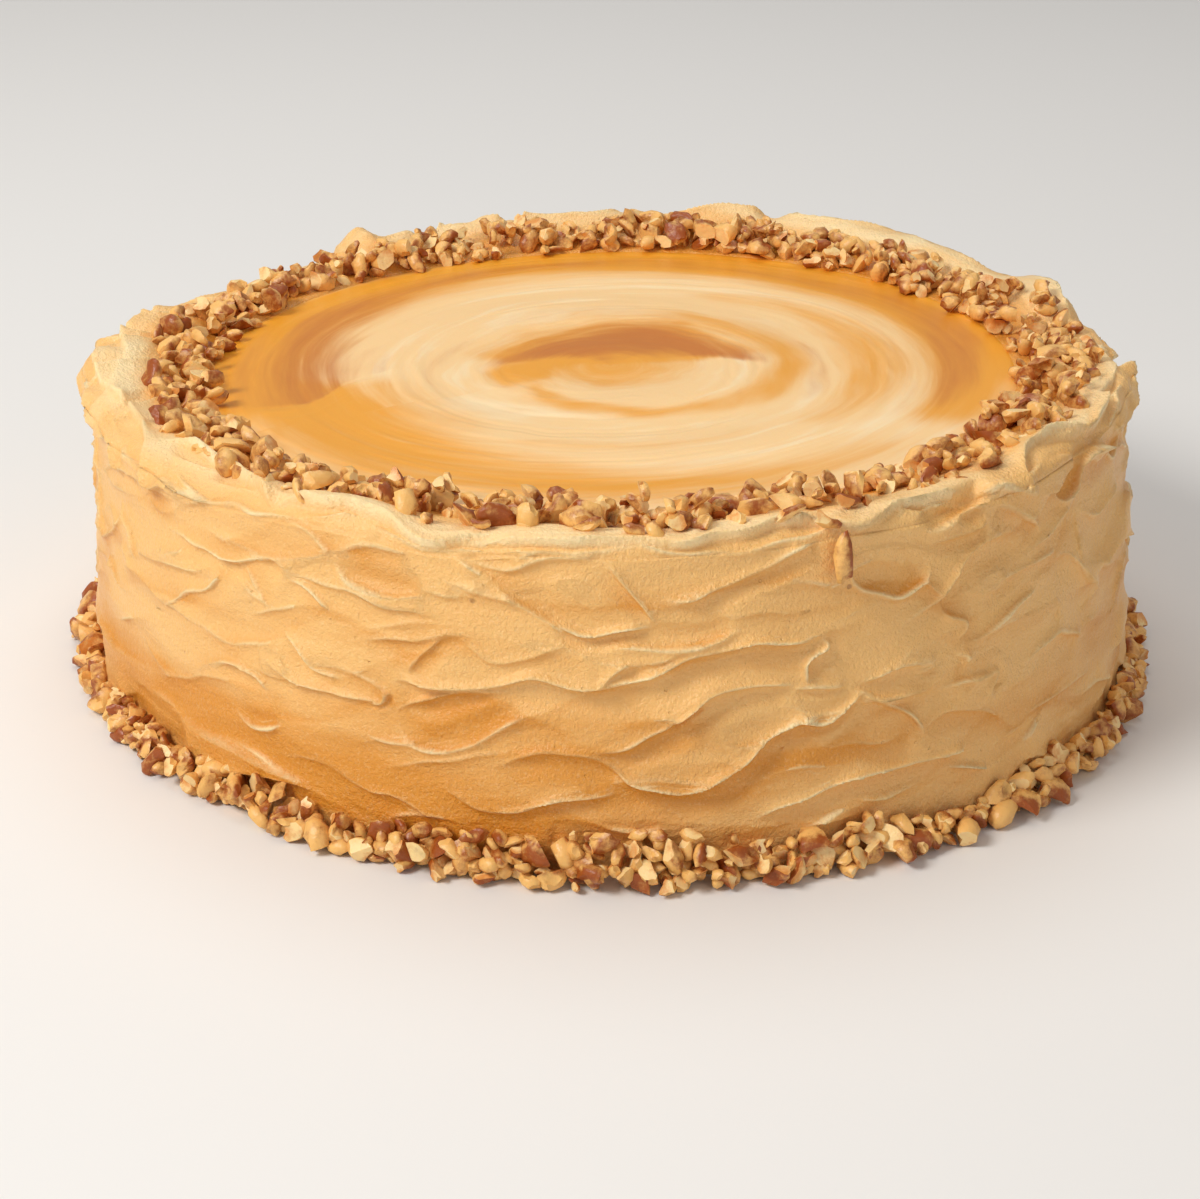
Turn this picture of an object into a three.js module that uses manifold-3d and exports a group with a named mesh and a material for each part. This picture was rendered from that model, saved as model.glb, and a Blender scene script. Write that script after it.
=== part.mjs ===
// A round caramel cake, uncut: a body frosted with dulce de leche buttercream that a palette knife has
// swept in waves round the side and folded over the top edge as a low rim, a smooth marbled top sunk a
// few millimetres inside that rim, and chopped nuts in two rings: along the inside of the rim and heaped
// round the foot. It is one solid, since nothing of its layers shows: the nuts are fused to the frosting.
//
// Millimetres, +Z up. The origin is the centre of the flat base. Azimuth is in degrees, 0 at the front
// (-Y) and 90 at the right (+X).
import * as THREE from "three";
import { mergeVertices } from "three/addons/utils/BufferGeometryUtils.js";
import Module from "manifold-3d";

const { clamp, degToRad: radians, lerp, smoothstep } = THREE.MathUtils;

// ---- Driving dimensions of the body ----

const BELLY_RADIUS = 126.3; // the widest part of the side
const BELLY_HEIGHT = 20;
const SHOULDER_RADIUS = 121.3; // where the side turns over into the rim
const SIDE_CURVE = 1.6; // above 1, the side draws in later, near its top
const RIM_HEIGHT = 72.4; // crest of the rim at the middle of the front
const RIM_TURN = 3.4; // height in which the side turns over into the rim
const RIM_ROUNDING = 6.5; // and how far inwards that turn goes
const TOP_HEIGHT = 69; // level of the marbled top
const TOP_RADIUS = 97; // foot of the rim's inner slope
const TOP_DIP = 0.5; // the marbled top is hollowed a little by the turning knife
const SPIRAL_DEPTH = 0.3; // and keeps a shallow spiral of it
const SPIRAL_PITCH = 34; // between one turn of the spiral and the next
const TOP_SLOPE = 0.036; // the top rises towards +X: the layers were stacked a little out of level
const TOP_SHIFT = -2; // and its centre sits this far along X from the base's centre
const HEAP_RADIUS = 129; // foot of the nuts heaped against the side
const HEAP_OVAL = 1.6; // the heap lies this much wider at the sides, and narrower in front and behind
const HEAP_HEIGHT = 10;
const HEAP_BUMP = 1.2; // unevenness of the heap's core, and of the frosting under the upper nuts

// How finely the body is drawn: points round it, and rows of them.
const COLUMNS = 120;
const HEAP_ROWS = 3;
const SIDE_ROWS = 12;
const RIM_ROWS = 3;
const SLOPE_ROWS = 2;
const TOP_ROWS = 6;
const TOP_POINTS = 12; // the rings of the marbled top lose this many points each towards the middle

// ---- Frosting: what the knife left ----

// The clearest crests, as the front shows them. Each is a line on the unrolled side, from and to
// [azimuth, height], bowed up by bow. The frosting to the left of its direction stands proud by step, and
// that to the right is sunk by it.
const FRONT_CRESTS = [
  { from: [-53.5, 71], to: [-51.8, 62], bow: 0.6, step: -1.3 },
  { from: [-50, 35], to: [-40, 56], bow: -2, step: 1 },
  { from: [-42, 31], to: [-33.5, 30.5], bow: 3, step: 0.9 },
  { from: [-26.5, 65], to: [-18, 59], bow: -3.5, step: -0.8 },
  { from: [-20, 32], to: [-8, 41], bow: 2.5, step: 1.1 },
  { from: [-15, 70], to: [3, 50.5], bow: -3.4, step: -0.7 },
  { from: [-20.5, 40.5], to: [2, 43], bow: 0.8, step: -0.8 },
  { from: [-11, 23], to: [-0.5, 25], bow: 5, step: 0.8 },
  { from: [-8.5, 14.5], to: [1, 20.5], bow: 1, step: 1.1 },
  { from: [-5, 54.5], to: [4.6, 56], bow: -0.5, step: 1.3 },
  { from: [-3, 28.5], to: [10.5, 41], bow: -2.5, step: 1.1 },
  { from: [-0.5, 70], to: [4.6, 56], bow: 1, step: -1.2 },
  { from: [2, 43], to: [20.5, 48.5], bow: 4.9, step: -0.8 },
  { from: [4.5, 63], to: [16, 67], bow: -2.6, step: -1 },
  { from: [13.5, 12], to: [40, 16.5], bow: 4.5, step: 1 },
  { from: [29, 49.5], to: [46.5, 59], bow: 5, step: -0.8 },
  { from: [31, 68.5], to: [42, 74.5], bow: 2.5, step: 1.4 },
];
// Elsewhere they are drawn at random, in rows from one azimuth to the other.
const OTHER_CRESTS = { from: 52, to: 296, every: 11.5, lowest: 17, rows: 5, rowRise: 12.5, seed: 41 };
const CREST_SAMPLES = 14; // straight pieces in a crest's line
const CREST_REACH = 6; // how far from its line a crest's step dies away
const CREST_EDGE = 2.4; // half the width that the step takes

// Slow unevenness of the hand-spread side: so many waves round it, leaning by so many degrees a millimetre.
const SIDE_WAVES = [
  { count: 3, depth: 0.5, lean: 0 },
  { count: 7, depth: 0.45, lean: 3 },
  { count: 11, depth: 0.35, lean: -5.2 },
];
// And of the rim's height.
const RIM_WAVES = [
  { count: 13, depth: 0.5, lean: 0 },
  { count: 23, depth: 0.3, lean: 0 },
];

// Places where the rim stands out of its ring: lift up and out, over a half-width in degrees.
const RIM_LOBES = [
  { at: -143, half: 2.6, lift: 6.5, out: 0 },
  { at: -130, half: 20, lift: -2.6, out: 0 },
  { at: -90, half: 17, lift: 2.4, out: 4.4 },
  { at: -30, half: 9, lift: 1.6, out: 0.4 },
  { at: -6, half: 6, lift: 0.9, out: 0 },
  { at: 15, half: 7, lift: 1.4, out: 0.3 },
  { at: 45, half: 8, lift: 1.8, out: 1.6 },
  { at: 70, half: 9, lift: 1, out: 0.6 },
  { at: 97, half: 12, lift: -3, out: 0 },
  { at: 110, half: 5, lift: 1.6, out: 2.8 },
  { at: 122, half: 7, lift: -1.6, out: 0 },
  { at: 150, half: 12, lift: 0.8, out: 0.5 },
  { at: 166, half: 12, lift: 2, out: 0 },
];
const LOBE_REACH = 16; // how far down the side a lobe dies away
const SLOPE_LIFT = 0.45; // share of a lobe's lift that the rim's inner slope takes
const RIM_RELIEF = 0.6; // share of the side's relief that runs over onto the rim

// ---- Chopped nuts ----

const NUT_LONGEST = 9.5;
const NUT_SHORTEST = 5.6;
// As shares of the length:
const NUT_WIDTH = 0.72;
const NUT_THICKNESS = 0.62;
const NUT_PULL = 0.34; // how far a corner may be pulled in
const NUT_SKEW = 0.16; // or moved aside
const NUT_RISE = 0.16; // and how far above the frosting its middle lies
// Each ring: how many nuts, the radius of its middle, its half-width, and the seed of its random draw.
const UPPER_NUTS = { count: 72, radius: 103.5, half: 6.5, seed: 7 };
const LOWER_NUTS = { count: 88, radius: 127.6, half: 3, seed: 19 };
const GOLDEN_ANGLE = 137.508; // successive nuts stand this far round, which spreads any number evenly
const FLOOR_GAP = 0.3; // the fused nuts stay this far above the surface that the cake stands on
// One long sliver that slid off the rim and stuck to the side.
const SLIVER = { azimuth: 23.5, height: 66, length: 9, width: 3.6, turn: 78, seed: 5 };

// ---- Small helpers ----

const MM_PER_DEGREE = radians(BELLY_RADIUS); // unrolls azimuth to millimetres

/** A repeatable random draw: each call gives the next number from 0 to 1. */
function draws(seed) {
  let state = seed >>> 0;
  return () => {
    state = (Math.imul(state, 1664525) + 1013904223) >>> 0;
    return state / 2 ** 32;
  };
}

/** The angle brought into -180 to 180 degrees. */
function wrapped(degrees) {
  return degrees - 360 * Math.round(degrees / 360);
}

/** The sum of a list of waves at a place. */
function waves(list, azimuth, height) {
  return list.reduce((sum, { count, depth, lean }) => {
    return sum + depth * Math.sin(radians(count * azimuth + lean * height + 90 * count));
  }, 0);
}

// ---- The knife's crests ----

/** A crest as points [millimetres round, height] along its line. */
function crestLine({ from, to, bow, step }) {
  const turn = wrapped(to[0] - from[0]);
  const points = [];
  for (let i = 0; i <= CREST_SAMPLES; i++) {
    const t = i / CREST_SAMPLES;
    points.push([turn * t * MM_PER_DEGREE, lerp(from[1], to[1], t) + 4 * bow * t * (1 - t)]);
  }
  return { start: from[0], points, step };
}

/** Crests drawn at random where the front's own don't reach, in the same style. */
function otherCrests({ from, to, every, lowest, rows, rowRise, seed }) {
  const draw = draws(seed);
  const between = (low, high) => lerp(low, high, draw());
  const crests = [];
  for (let azimuth = from; azimuth < to; azimuth += every) {
    for (let row = 0; row < rows; row++) {
      const start = azimuth + between(0, 8);
      const height = lowest + rowRise * row + between(-3.5, 3.5);
      const end = [start + between(10, 22), height + between(-6, 8)];
      const step = Math.sign(between(-1, 1)) * between(0.7, 1.3);
      crests.push({ from: [start, height], to: end, bow: between(-4, 5), step });
    }
  }
  return crests;
}

const CREST_LINES = [...FRONT_CRESTS, ...otherCrests(OTHER_CRESTS)].map(crestLine);

/** What one crest adds at a point of the unrolled side. */
function crestStep({ start, points, step }, azimuth, height) {
  const x = wrapped(azimuth - start) * MM_PER_DEGREE;
  const reach = 3 * CREST_REACH;
  if (x < points[0][0] - reach || x > points.at(-1)[0] + reach) return 0;
  let nearest = Infinity;
  let side = 0;
  let along = 0;
  for (let i = 0; i < CREST_SAMPLES; i++) {
    const [x0, z0] = points[i];
    const dx = points[i + 1][0] - x0;
    const dz = points[i + 1][1] - z0;
    const t = clamp(((x - x0) * dx + (height - z0) * dz) / (dx * dx + dz * dz), 0, 1);
    const gapX = x - x0 - t * dx;
    const gapZ = height - z0 - t * dz;
    const distance = Math.hypot(gapX, gapZ);
    if (distance >= nearest) continue;
    nearest = distance;
    side = Math.sign(dx * gapZ - dz * gapX);
    along = (i + t) / CREST_SAMPLES;
  }
  const fade = Math.sqrt(Math.abs(Math.sin(Math.PI * along)));
  return step * side * Math.tanh(nearest / CREST_EDGE) * Math.exp(-nearest / CREST_REACH) * fade;
}

/** All the relief of the frosting, in millimetres out of its smooth form. */
function relief(azimuth, height) {
  const smooth = waves(SIDE_WAVES, azimuth, height);
  return CREST_LINES.reduce((sum, crest) => sum + crestStep(crest, azimuth, height), smooth);
}

// ---- The body ----

/** Lift and outward push of the rim at an azimuth. */
function rimLobe(azimuth) {
  let lift = waves(RIM_WAVES, azimuth, 0);
  let out = 0;
  for (const lobe of RIM_LOBES) {
    const share = Math.exp(-((wrapped(azimuth - lobe.at) / lobe.half) ** 2));
    lift += lobe.lift * share;
    out += lobe.out * share;
  }
  return { lift, out };
}

/** The side's radius at a height, before any relief. */
function sideRadius(height) {
  const above = clamp((height - BELLY_HEIGHT) / (RIM_HEIGHT - BELLY_HEIGHT), 0, 1);
  return lerp(BELLY_RADIUS, SHOULDER_RADIUS, above ** SIDE_CURVE);
}

/** The body's profile in rows: up the heap and the side, over the rim, and down to the marbled top. */
function profileRows() {
  const rows = [];
  for (let i = 0; i < HEAP_ROWS; i++) {
    const t = i / HEAP_ROWS;
    rows.push({ part: "heap", radius: lerp(HEAP_RADIUS, BELLY_RADIUS, t * t), height: HEAP_HEIGHT * t });
  }
  for (let i = 0; i < SIDE_ROWS; i++) {
    const height = lerp(HEAP_HEIGHT + RIM_TURN, RIM_HEIGHT - RIM_TURN, i / (SIDE_ROWS - 1));
    rows.push({ part: "side", radius: sideRadius(height), height });
  }
  for (let i = 1; i <= RIM_ROWS; i++) {
    const turn = radians((90 * i) / RIM_ROWS);
    const radius = SHOULDER_RADIUS - RIM_ROUNDING * (1 - Math.cos(turn));
    rows.push({ part: "rim", radius, height: RIM_HEIGHT - RIM_TURN * (1 - Math.sin(turn)) });
  }
  for (let i = 1; i <= SLOPE_ROWS; i++) {
    const t = i / (SLOPE_ROWS + 1);
    const radius = lerp(SHOULDER_RADIUS - RIM_ROUNDING, TOP_RADIUS, t);
    rows.push({ part: "slope", radius, height: lerp(RIM_HEIGHT, TOP_HEIGHT, smoothstep(t, 0, 1)) });
  }
  return rows;
}

/** Sets a point of the round form out of level and off centre, as the real cake is. */
function settled(azimuth, radius, height) {
  const a = radians(azimuth);
  const share = height / TOP_HEIGHT;
  const x = radius * Math.sin(a);
  const y = -radius * Math.cos(a);
  return new THREE.Vector3(x + TOP_SHIFT * share, y, height + TOP_SLOPE * x * share);
}

/** How much further out the heap lies at an azimuth. */
function heapSpread(azimuth) {
  return -HEAP_OVAL * Math.cos(radians(2 * azimuth));
}

/** A point of the body, from its profile row. */
function bodyPoint({ part, radius, height }, azimuth, bump) {
  const { lift, out } = rimLobe(azimuth);
  const share = smoothstep(height, RIM_HEIGHT - LOBE_REACH, RIM_HEIGHT);
  if (part === "heap") {
    const rise = height > 0 ? bump : 0;
    return settled(azimuth, radius + heapSpread(azimuth) + bump, height + rise);
  }
  if (part === "slope") return settled(azimuth, radius, height + SLOPE_LIFT * lift + bump);
  const swept = relief(azimuth, height);
  if (part === "side") return settled(azimuth, radius + swept + out * share, height + lift * share);
  const kept = RIM_RELIEF * swept;
  return settled(azimuth, radius + kept + out * share, height + kept + lift * share);
}

/** A ring of the marbled top, with the shallow spiral that the turning knife leaves. */
function topRing(radius, count) {
  const ring = [];
  for (let i = 0; i < count; i++) {
    const azimuth = (360 * i) / count;
    const spiral = SPIRAL_DEPTH * Math.sin(radians(azimuth) - (2 * Math.PI * radius) / SPIRAL_PITCH);
    const dip = TOP_DIP * (1 - (radius / TOP_RADIUS) ** 2);
    ring.push(settled(azimuth, radius, TOP_HEIGHT - dip + spiral));
  }
  return ring;
}

/** Triangles between two rings of any two counts, which start at the same azimuth. */
function zipRings(lower, upper) {
  const faces = [];
  let i = 0;
  let j = 0;
  while (i < lower.count || j < upper.count) {
    const a = lower.first + (i % lower.count);
    const b = upper.first + (j % upper.count);
    const lowerNext = j >= upper.count || (i + 1) / lower.count <= (j + 1) / upper.count;
    if (i < lower.count && lowerNext) {
      i++;
      faces.push(a, lower.first + (i % lower.count), b);
    } else {
      j++;
      faces.push(a, upper.first + (j % upper.count), b);
    }
  }
  return faces;
}

/** Triangles from a ring to one point. */
function fan(ring, point, facesUp) {
  const faces = [];
  for (let i = 0; i < ring.count; i++) {
    const pair = [ring.first + i, ring.first + ((i + 1) % ring.count)];
    faces.push(point, ...(facesUp ? pair : pair.reverse()));
  }
  return faces;
}

/** The frosted body as a closed indexed geometry. */
function bodyGeometry() {
  const draw = draws(3);
  const rings = [];
  for (const row of profileRows()) {
    const ring = [];
    for (let i = 0; i < COLUMNS; i++) {
      ring.push(bodyPoint(row, (360 * i) / COLUMNS, HEAP_BUMP * (2 * draw() - 1)));
    }
    rings.push(ring);
  }
  rings.push(topRing(TOP_RADIUS, COLUMNS));
  for (let i = 1; i < TOP_ROWS; i++) {
    rings.push(topRing(TOP_RADIUS * (1 - i / TOP_ROWS), TOP_POINTS * (TOP_ROWS - i)));
  }
  const points = rings.flat();
  const spans = [];
  let first = 0;
  for (const ring of rings) {
    spans.push({ first, count: ring.length });
    first += ring.length;
  }
  const faces = [];
  for (let k = 0; k < spans.length - 1; k++) faces.push(...zipRings(spans[k], spans[k + 1]));
  faces.push(...fan(spans.at(-1), points.length, true));
  points.push(settled(0, 0, TOP_HEIGHT - TOP_DIP));
  faces.push(...fan(spans[0], points.length, false));
  points.push(new THREE.Vector3(0, 0, 0));
  return new THREE.BufferGeometry().setFromPoints(points).setIndex(faces);
}

// ---- The nuts ----

/** A chopped piece: a block with every corner pulled a different way. */
function nutGeometry(length, width, thickness, draw) {
  const box = new THREE.BoxGeometry(length, width, thickness);
  box.deleteAttribute("normal");
  box.deleteAttribute("uv");
  const geometry = mergeVertices(box);
  const position = geometry.getAttribute("position");
  for (let i = 0; i < position.count; i++) {
    const pull = 1 - NUT_PULL * draw();
    const corner = new THREE.Vector3().fromBufferAttribute(position, i).multiplyScalar(pull);
    const aside = new THREE.Vector3(draw(), draw(), draw()).subScalar(0.5);
    corner.addScaledVector(aside, NUT_SKEW * length);
    position.setXYZ(i, corner.x, corner.y, corner.z);
  }
  return geometry;
}

/** A random turn in space, drawn evenly. */
function randomTurn(draw) {
  const [u, v, w] = [draw(), 2 * Math.PI * draw(), 2 * Math.PI * draw()];
  const [p, q] = [Math.sqrt(1 - u), Math.sqrt(u)];
  return new THREE.Quaternion(p * Math.sin(v), p * Math.cos(v), q * Math.sin(w), q * Math.cos(w));
}

/**
 * Places count nuts round a ring, the longest first. placeOf gives where the middle of one of unit across
 * the ring (-1 at its inner edge, 1 at its outer) lies.
 */
function nutRing({ count, radius, half, seed }, placeOf) {
  const draw = draws(seed);
  const nuts = [];
  for (let i = 0; i < count; i++) {
    const length = lerp(NUT_LONGEST, NUT_SHORTEST, i / (count - 1));
    const azimuth = i * GOLDEN_ANGLE + lerp(-1.5, 1.5, draw());
    const across = lerp(-1, 1, draw());
    const place = placeOf(azimuth, radius + across * half, across, length);
    const geometry = nutGeometry(length, NUT_WIDTH * length, NUT_THICKNESS * length, draw);
    geometry.applyQuaternion(randomTurn(draw));
    geometry.computeBoundingBox();
    place.z = Math.max(place.z, FLOOR_GAP - geometry.boundingBox.min.z);
    geometry.translate(place.x, place.y, place.z);
    nuts.push(geometry);
  }
  return nuts;
}

/** Where a nut's middle lies on the inner slope of the rim. */
function onRim(azimuth, radius, across, length) {
  const slope = lerp(TOP_HEIGHT, RIM_HEIGHT, smoothstep(across, -1, 1));
  return settled(azimuth, radius, slope + SLOPE_LIFT * rimLobe(azimuth).lift + NUT_RISE * length);
}

/** Where a nut's middle lies on the heap at the foot, which leans on the side. */
function onHeap(azimuth, radius, across, length) {
  const height = lerp(HEAP_HEIGHT, NUT_RISE * length, (across + 1) / 2);
  return settled(azimuth, radius + heapSpread(azimuth), height);
}

/** The long sliver that clings to the side, leaning down it. */
function sliver({ azimuth, height, length, width, turn, seed }) {
  const radius = sideRadius(height) + relief(azimuth, height) + NUT_RISE * width;
  const place = settled(azimuth, radius, height);
  const geometry = nutGeometry(length, width, width, draws(seed));
  geometry.rotateY(radians(turn)).rotateZ(radians(azimuth));
  return geometry.translate(place.x, place.y, place.z);
}

// ---- Joining ----

const wasm = await Module();
wasm.setup();

/** A closed geometry as a solid that can be joined to others. */
function solidOf(geometry) {
  const vertProperties = new Float32Array(geometry.getAttribute("position").array);
  const triVerts = new Uint32Array(geometry.index.array);
  return new wasm.Manifold(new wasm.Mesh({ numProp: 3, vertProperties, triVerts }));
}

/** A solid back as a geometry. */
function geometryOf(solid) {
  const { vertProperties, triVerts } = solid.getMesh();
  const geometry = new THREE.BufferGeometry();
  geometry.setAttribute("position", new THREE.BufferAttribute(vertProperties, 3));
  geometry.setIndex(new THREE.BufferAttribute(triVerts, 1));
  geometry.computeVertexNormals();
  return geometry;
}

/** Fuses the nuts to the body, and keeps only the one outer body: no sealed hollow and no loose scrap. */
function fused(body, nuts) {
  const joined = nuts.reduce((sum, nut) => sum.add(solidOf(nut)), solidOf(body));
  return joined.decompose().reduce((best, piece) => (piece.volume() > best.volume() ? piece : best));
}

/** The cake's one mesh. */
function makeCake() {
  const nuts = [...nutRing(UPPER_NUTS, onRim), ...nutRing(LOWER_NUTS, onHeap), sliver(SLIVER)];
  const frosting = new THREE.MeshStandardMaterial({ color: 0xe8b473, roughness: 0.48, metalness: 0 });
  const cake = new THREE.Mesh(geometryOf(fused(bodyGeometry(), nuts)), frosting);
  cake.name = "cake";
  return cake;
}

const group = new THREE.Group();
group.add(makeCake());

export default group;
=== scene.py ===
"""A round caramel cake in dulce de leche buttercream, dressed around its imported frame.

The frame holds the cake as one plain solid. Four pieces stand for it here: the buttercream of the side and
the rim as a palette knife left it, the marbled top, the chopped nuts along the rim and those heaped round
the foot. Sizes are in millimetres and azimuths in degrees, 0 at the front (-Y) and 90 at the right (+X);
MM turns millimetres into the frame's metres as the meshes are made.
"""

import logging
import math
from collections.abc import Callable, Iterator
from dataclasses import dataclass, field
from enum import Enum

import bpy
import numpy as np
from mathutils import Matrix, Vector


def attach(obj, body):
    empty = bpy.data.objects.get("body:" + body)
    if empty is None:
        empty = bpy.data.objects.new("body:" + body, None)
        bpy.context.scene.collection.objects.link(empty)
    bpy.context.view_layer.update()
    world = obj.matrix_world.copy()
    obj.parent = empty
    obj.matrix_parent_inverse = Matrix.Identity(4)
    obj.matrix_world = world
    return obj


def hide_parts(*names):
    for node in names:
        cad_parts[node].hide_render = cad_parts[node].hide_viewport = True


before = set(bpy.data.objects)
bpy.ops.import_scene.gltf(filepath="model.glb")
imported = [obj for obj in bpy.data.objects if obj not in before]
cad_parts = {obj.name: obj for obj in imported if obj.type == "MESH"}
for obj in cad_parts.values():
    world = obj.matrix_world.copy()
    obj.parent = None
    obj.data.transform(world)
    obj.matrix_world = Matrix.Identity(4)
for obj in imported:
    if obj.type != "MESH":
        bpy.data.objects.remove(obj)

logging.basicConfig(level=logging.INFO, format="%(message)s")
log = logging.getLogger("cake")

MM = 0.001
GOLDEN_SHARE = (math.sqrt(5) - 1) / 2
FULL_TURN = 360.0
HALF_TURN = 180.0
RIGHT_ANGLE = 90.0
MERGE_GAP = 0.001  # millimetres

Array = np.ndarray
Colour = tuple[int, int, int]
Path = tuple[tuple[float, float], ...]
Piece = bpy.types.Object
Socket = bpy.types.NodeSocket
Span = tuple[float, float]
Triples = tuple[tuple[float, float, float], ...]


# ---- Small tools ----


def smoothstep(low: float, high: float, value: Array) -> Array:
    """A smooth ramp.

    Args:
        low: The value at which the ramp starts.
        high: The value at which it ends.
        value: Where to take it.

    Returns:
        0 up to low, 1 from high on, and a smooth rise between.
    """
    t = np.clip((value - low) / (high - low), 0.0, 1.0)
    return t * t * (3.0 - 2.0 * t)


def lerp(start: Array | float, end: Array | float, share: Array | float) -> Array:
    """The value that is share of the way from start to end."""
    return start + (end - start) * share


def wrapped(degrees: Array) -> Array:
    """Angles brought into -180 to 180 degrees."""
    return degrees - FULL_TURN * np.round(degrees / FULL_TURN)


def soft_noise(shape: tuple[int, int], cell: tuple[float, float], size: tuple[float, float],
               rng: np.random.Generator) -> Array:
    """Smooth noise that repeats at its edges.

    Args:
        shape: Triples and columns of the field.
        cell: Millimetres between rows and between columns.
        size: Millimetres that a lump spans up and across, as the spread of a bell curve.
        rng: The seeded draw.

    Returns:
        A field with mean 0 and a spread of 1.
    """
    up = np.fft.fftfreq(shape[0], cell[0])[:, None]
    across = np.fft.rfftfreq(shape[1], cell[1])[None, :]
    damp = np.exp(-2.0 * math.pi**2 * ((up * size[0]) ** 2 + (across * size[1]) ** 2))
    noise = np.fft.irfft2(np.fft.rfft2(rng.standard_normal(shape)) * damp, s=shape)
    return (noise - noise.mean()) / noise.std()


def curve_through(points: Array, steps: int = 7) -> Array:
    """A smooth curve through a few points.

    Args:
        points: The points, one a row.
        steps: How many straight pieces to make between two of them.

    Returns:
        The points of the curve, one a row.
    """
    padded = np.vstack([2 * points[0] - points[1], points, 2 * points[-1] - points[-2]])
    pieces = []
    for before, start, end, after in zip(padded, padded[1:], padded[2:], padded[3:]):
        t = np.linspace(0.0, 1.0, steps, endpoint=False)[:, None]
        pieces.append(0.5 * (2 * start + (end - before) * t
                             + (2 * before - 5 * start + 4 * end - after) * t**2
                             + (3 * start - before - 3 * end + after) * t**3))
    return np.vstack([*pieces, points[-1:]])


def linear_channel(value: int) -> float:
    """A screen's red, green or blue, 0 to 255, as linear light, by the sRGB standard."""
    share = value / 255.0
    return share / 12.92 if share <= 0.04045 else ((share + 0.055) / 1.055) ** 2.4


def linear(colour: Colour) -> tuple[float, float, float, float]:
    """A colour given as on a screen, in the linear values that shaders take."""
    red, green, blue = (linear_channel(value) for value in colour)
    return red, green, blue, 1.0


# ---- The cake's form, as the frame has it ----


@dataclass(frozen=True)
class Lobe:
    """A place where the rim rises or sinks, and how far it stands out of its ring there."""

    azimuth: float
    half: float
    lift: float
    out: float = 0.0


@dataclass(frozen=True)
class Wave:
    """Slow unevenness: so many waves round the cake, leaning by so many degrees a millimetre."""

    count: int
    depth: float
    lean: float = 0.0

    def at(self, azimuth: Array, height: Array | float = 0.0) -> Array:
        """The wave's depth at a place."""
        turned = self.count * azimuth + self.lean * height + RIGHT_ANGLE * self.count
        return self.depth * np.sin(np.radians(turned))


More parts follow.
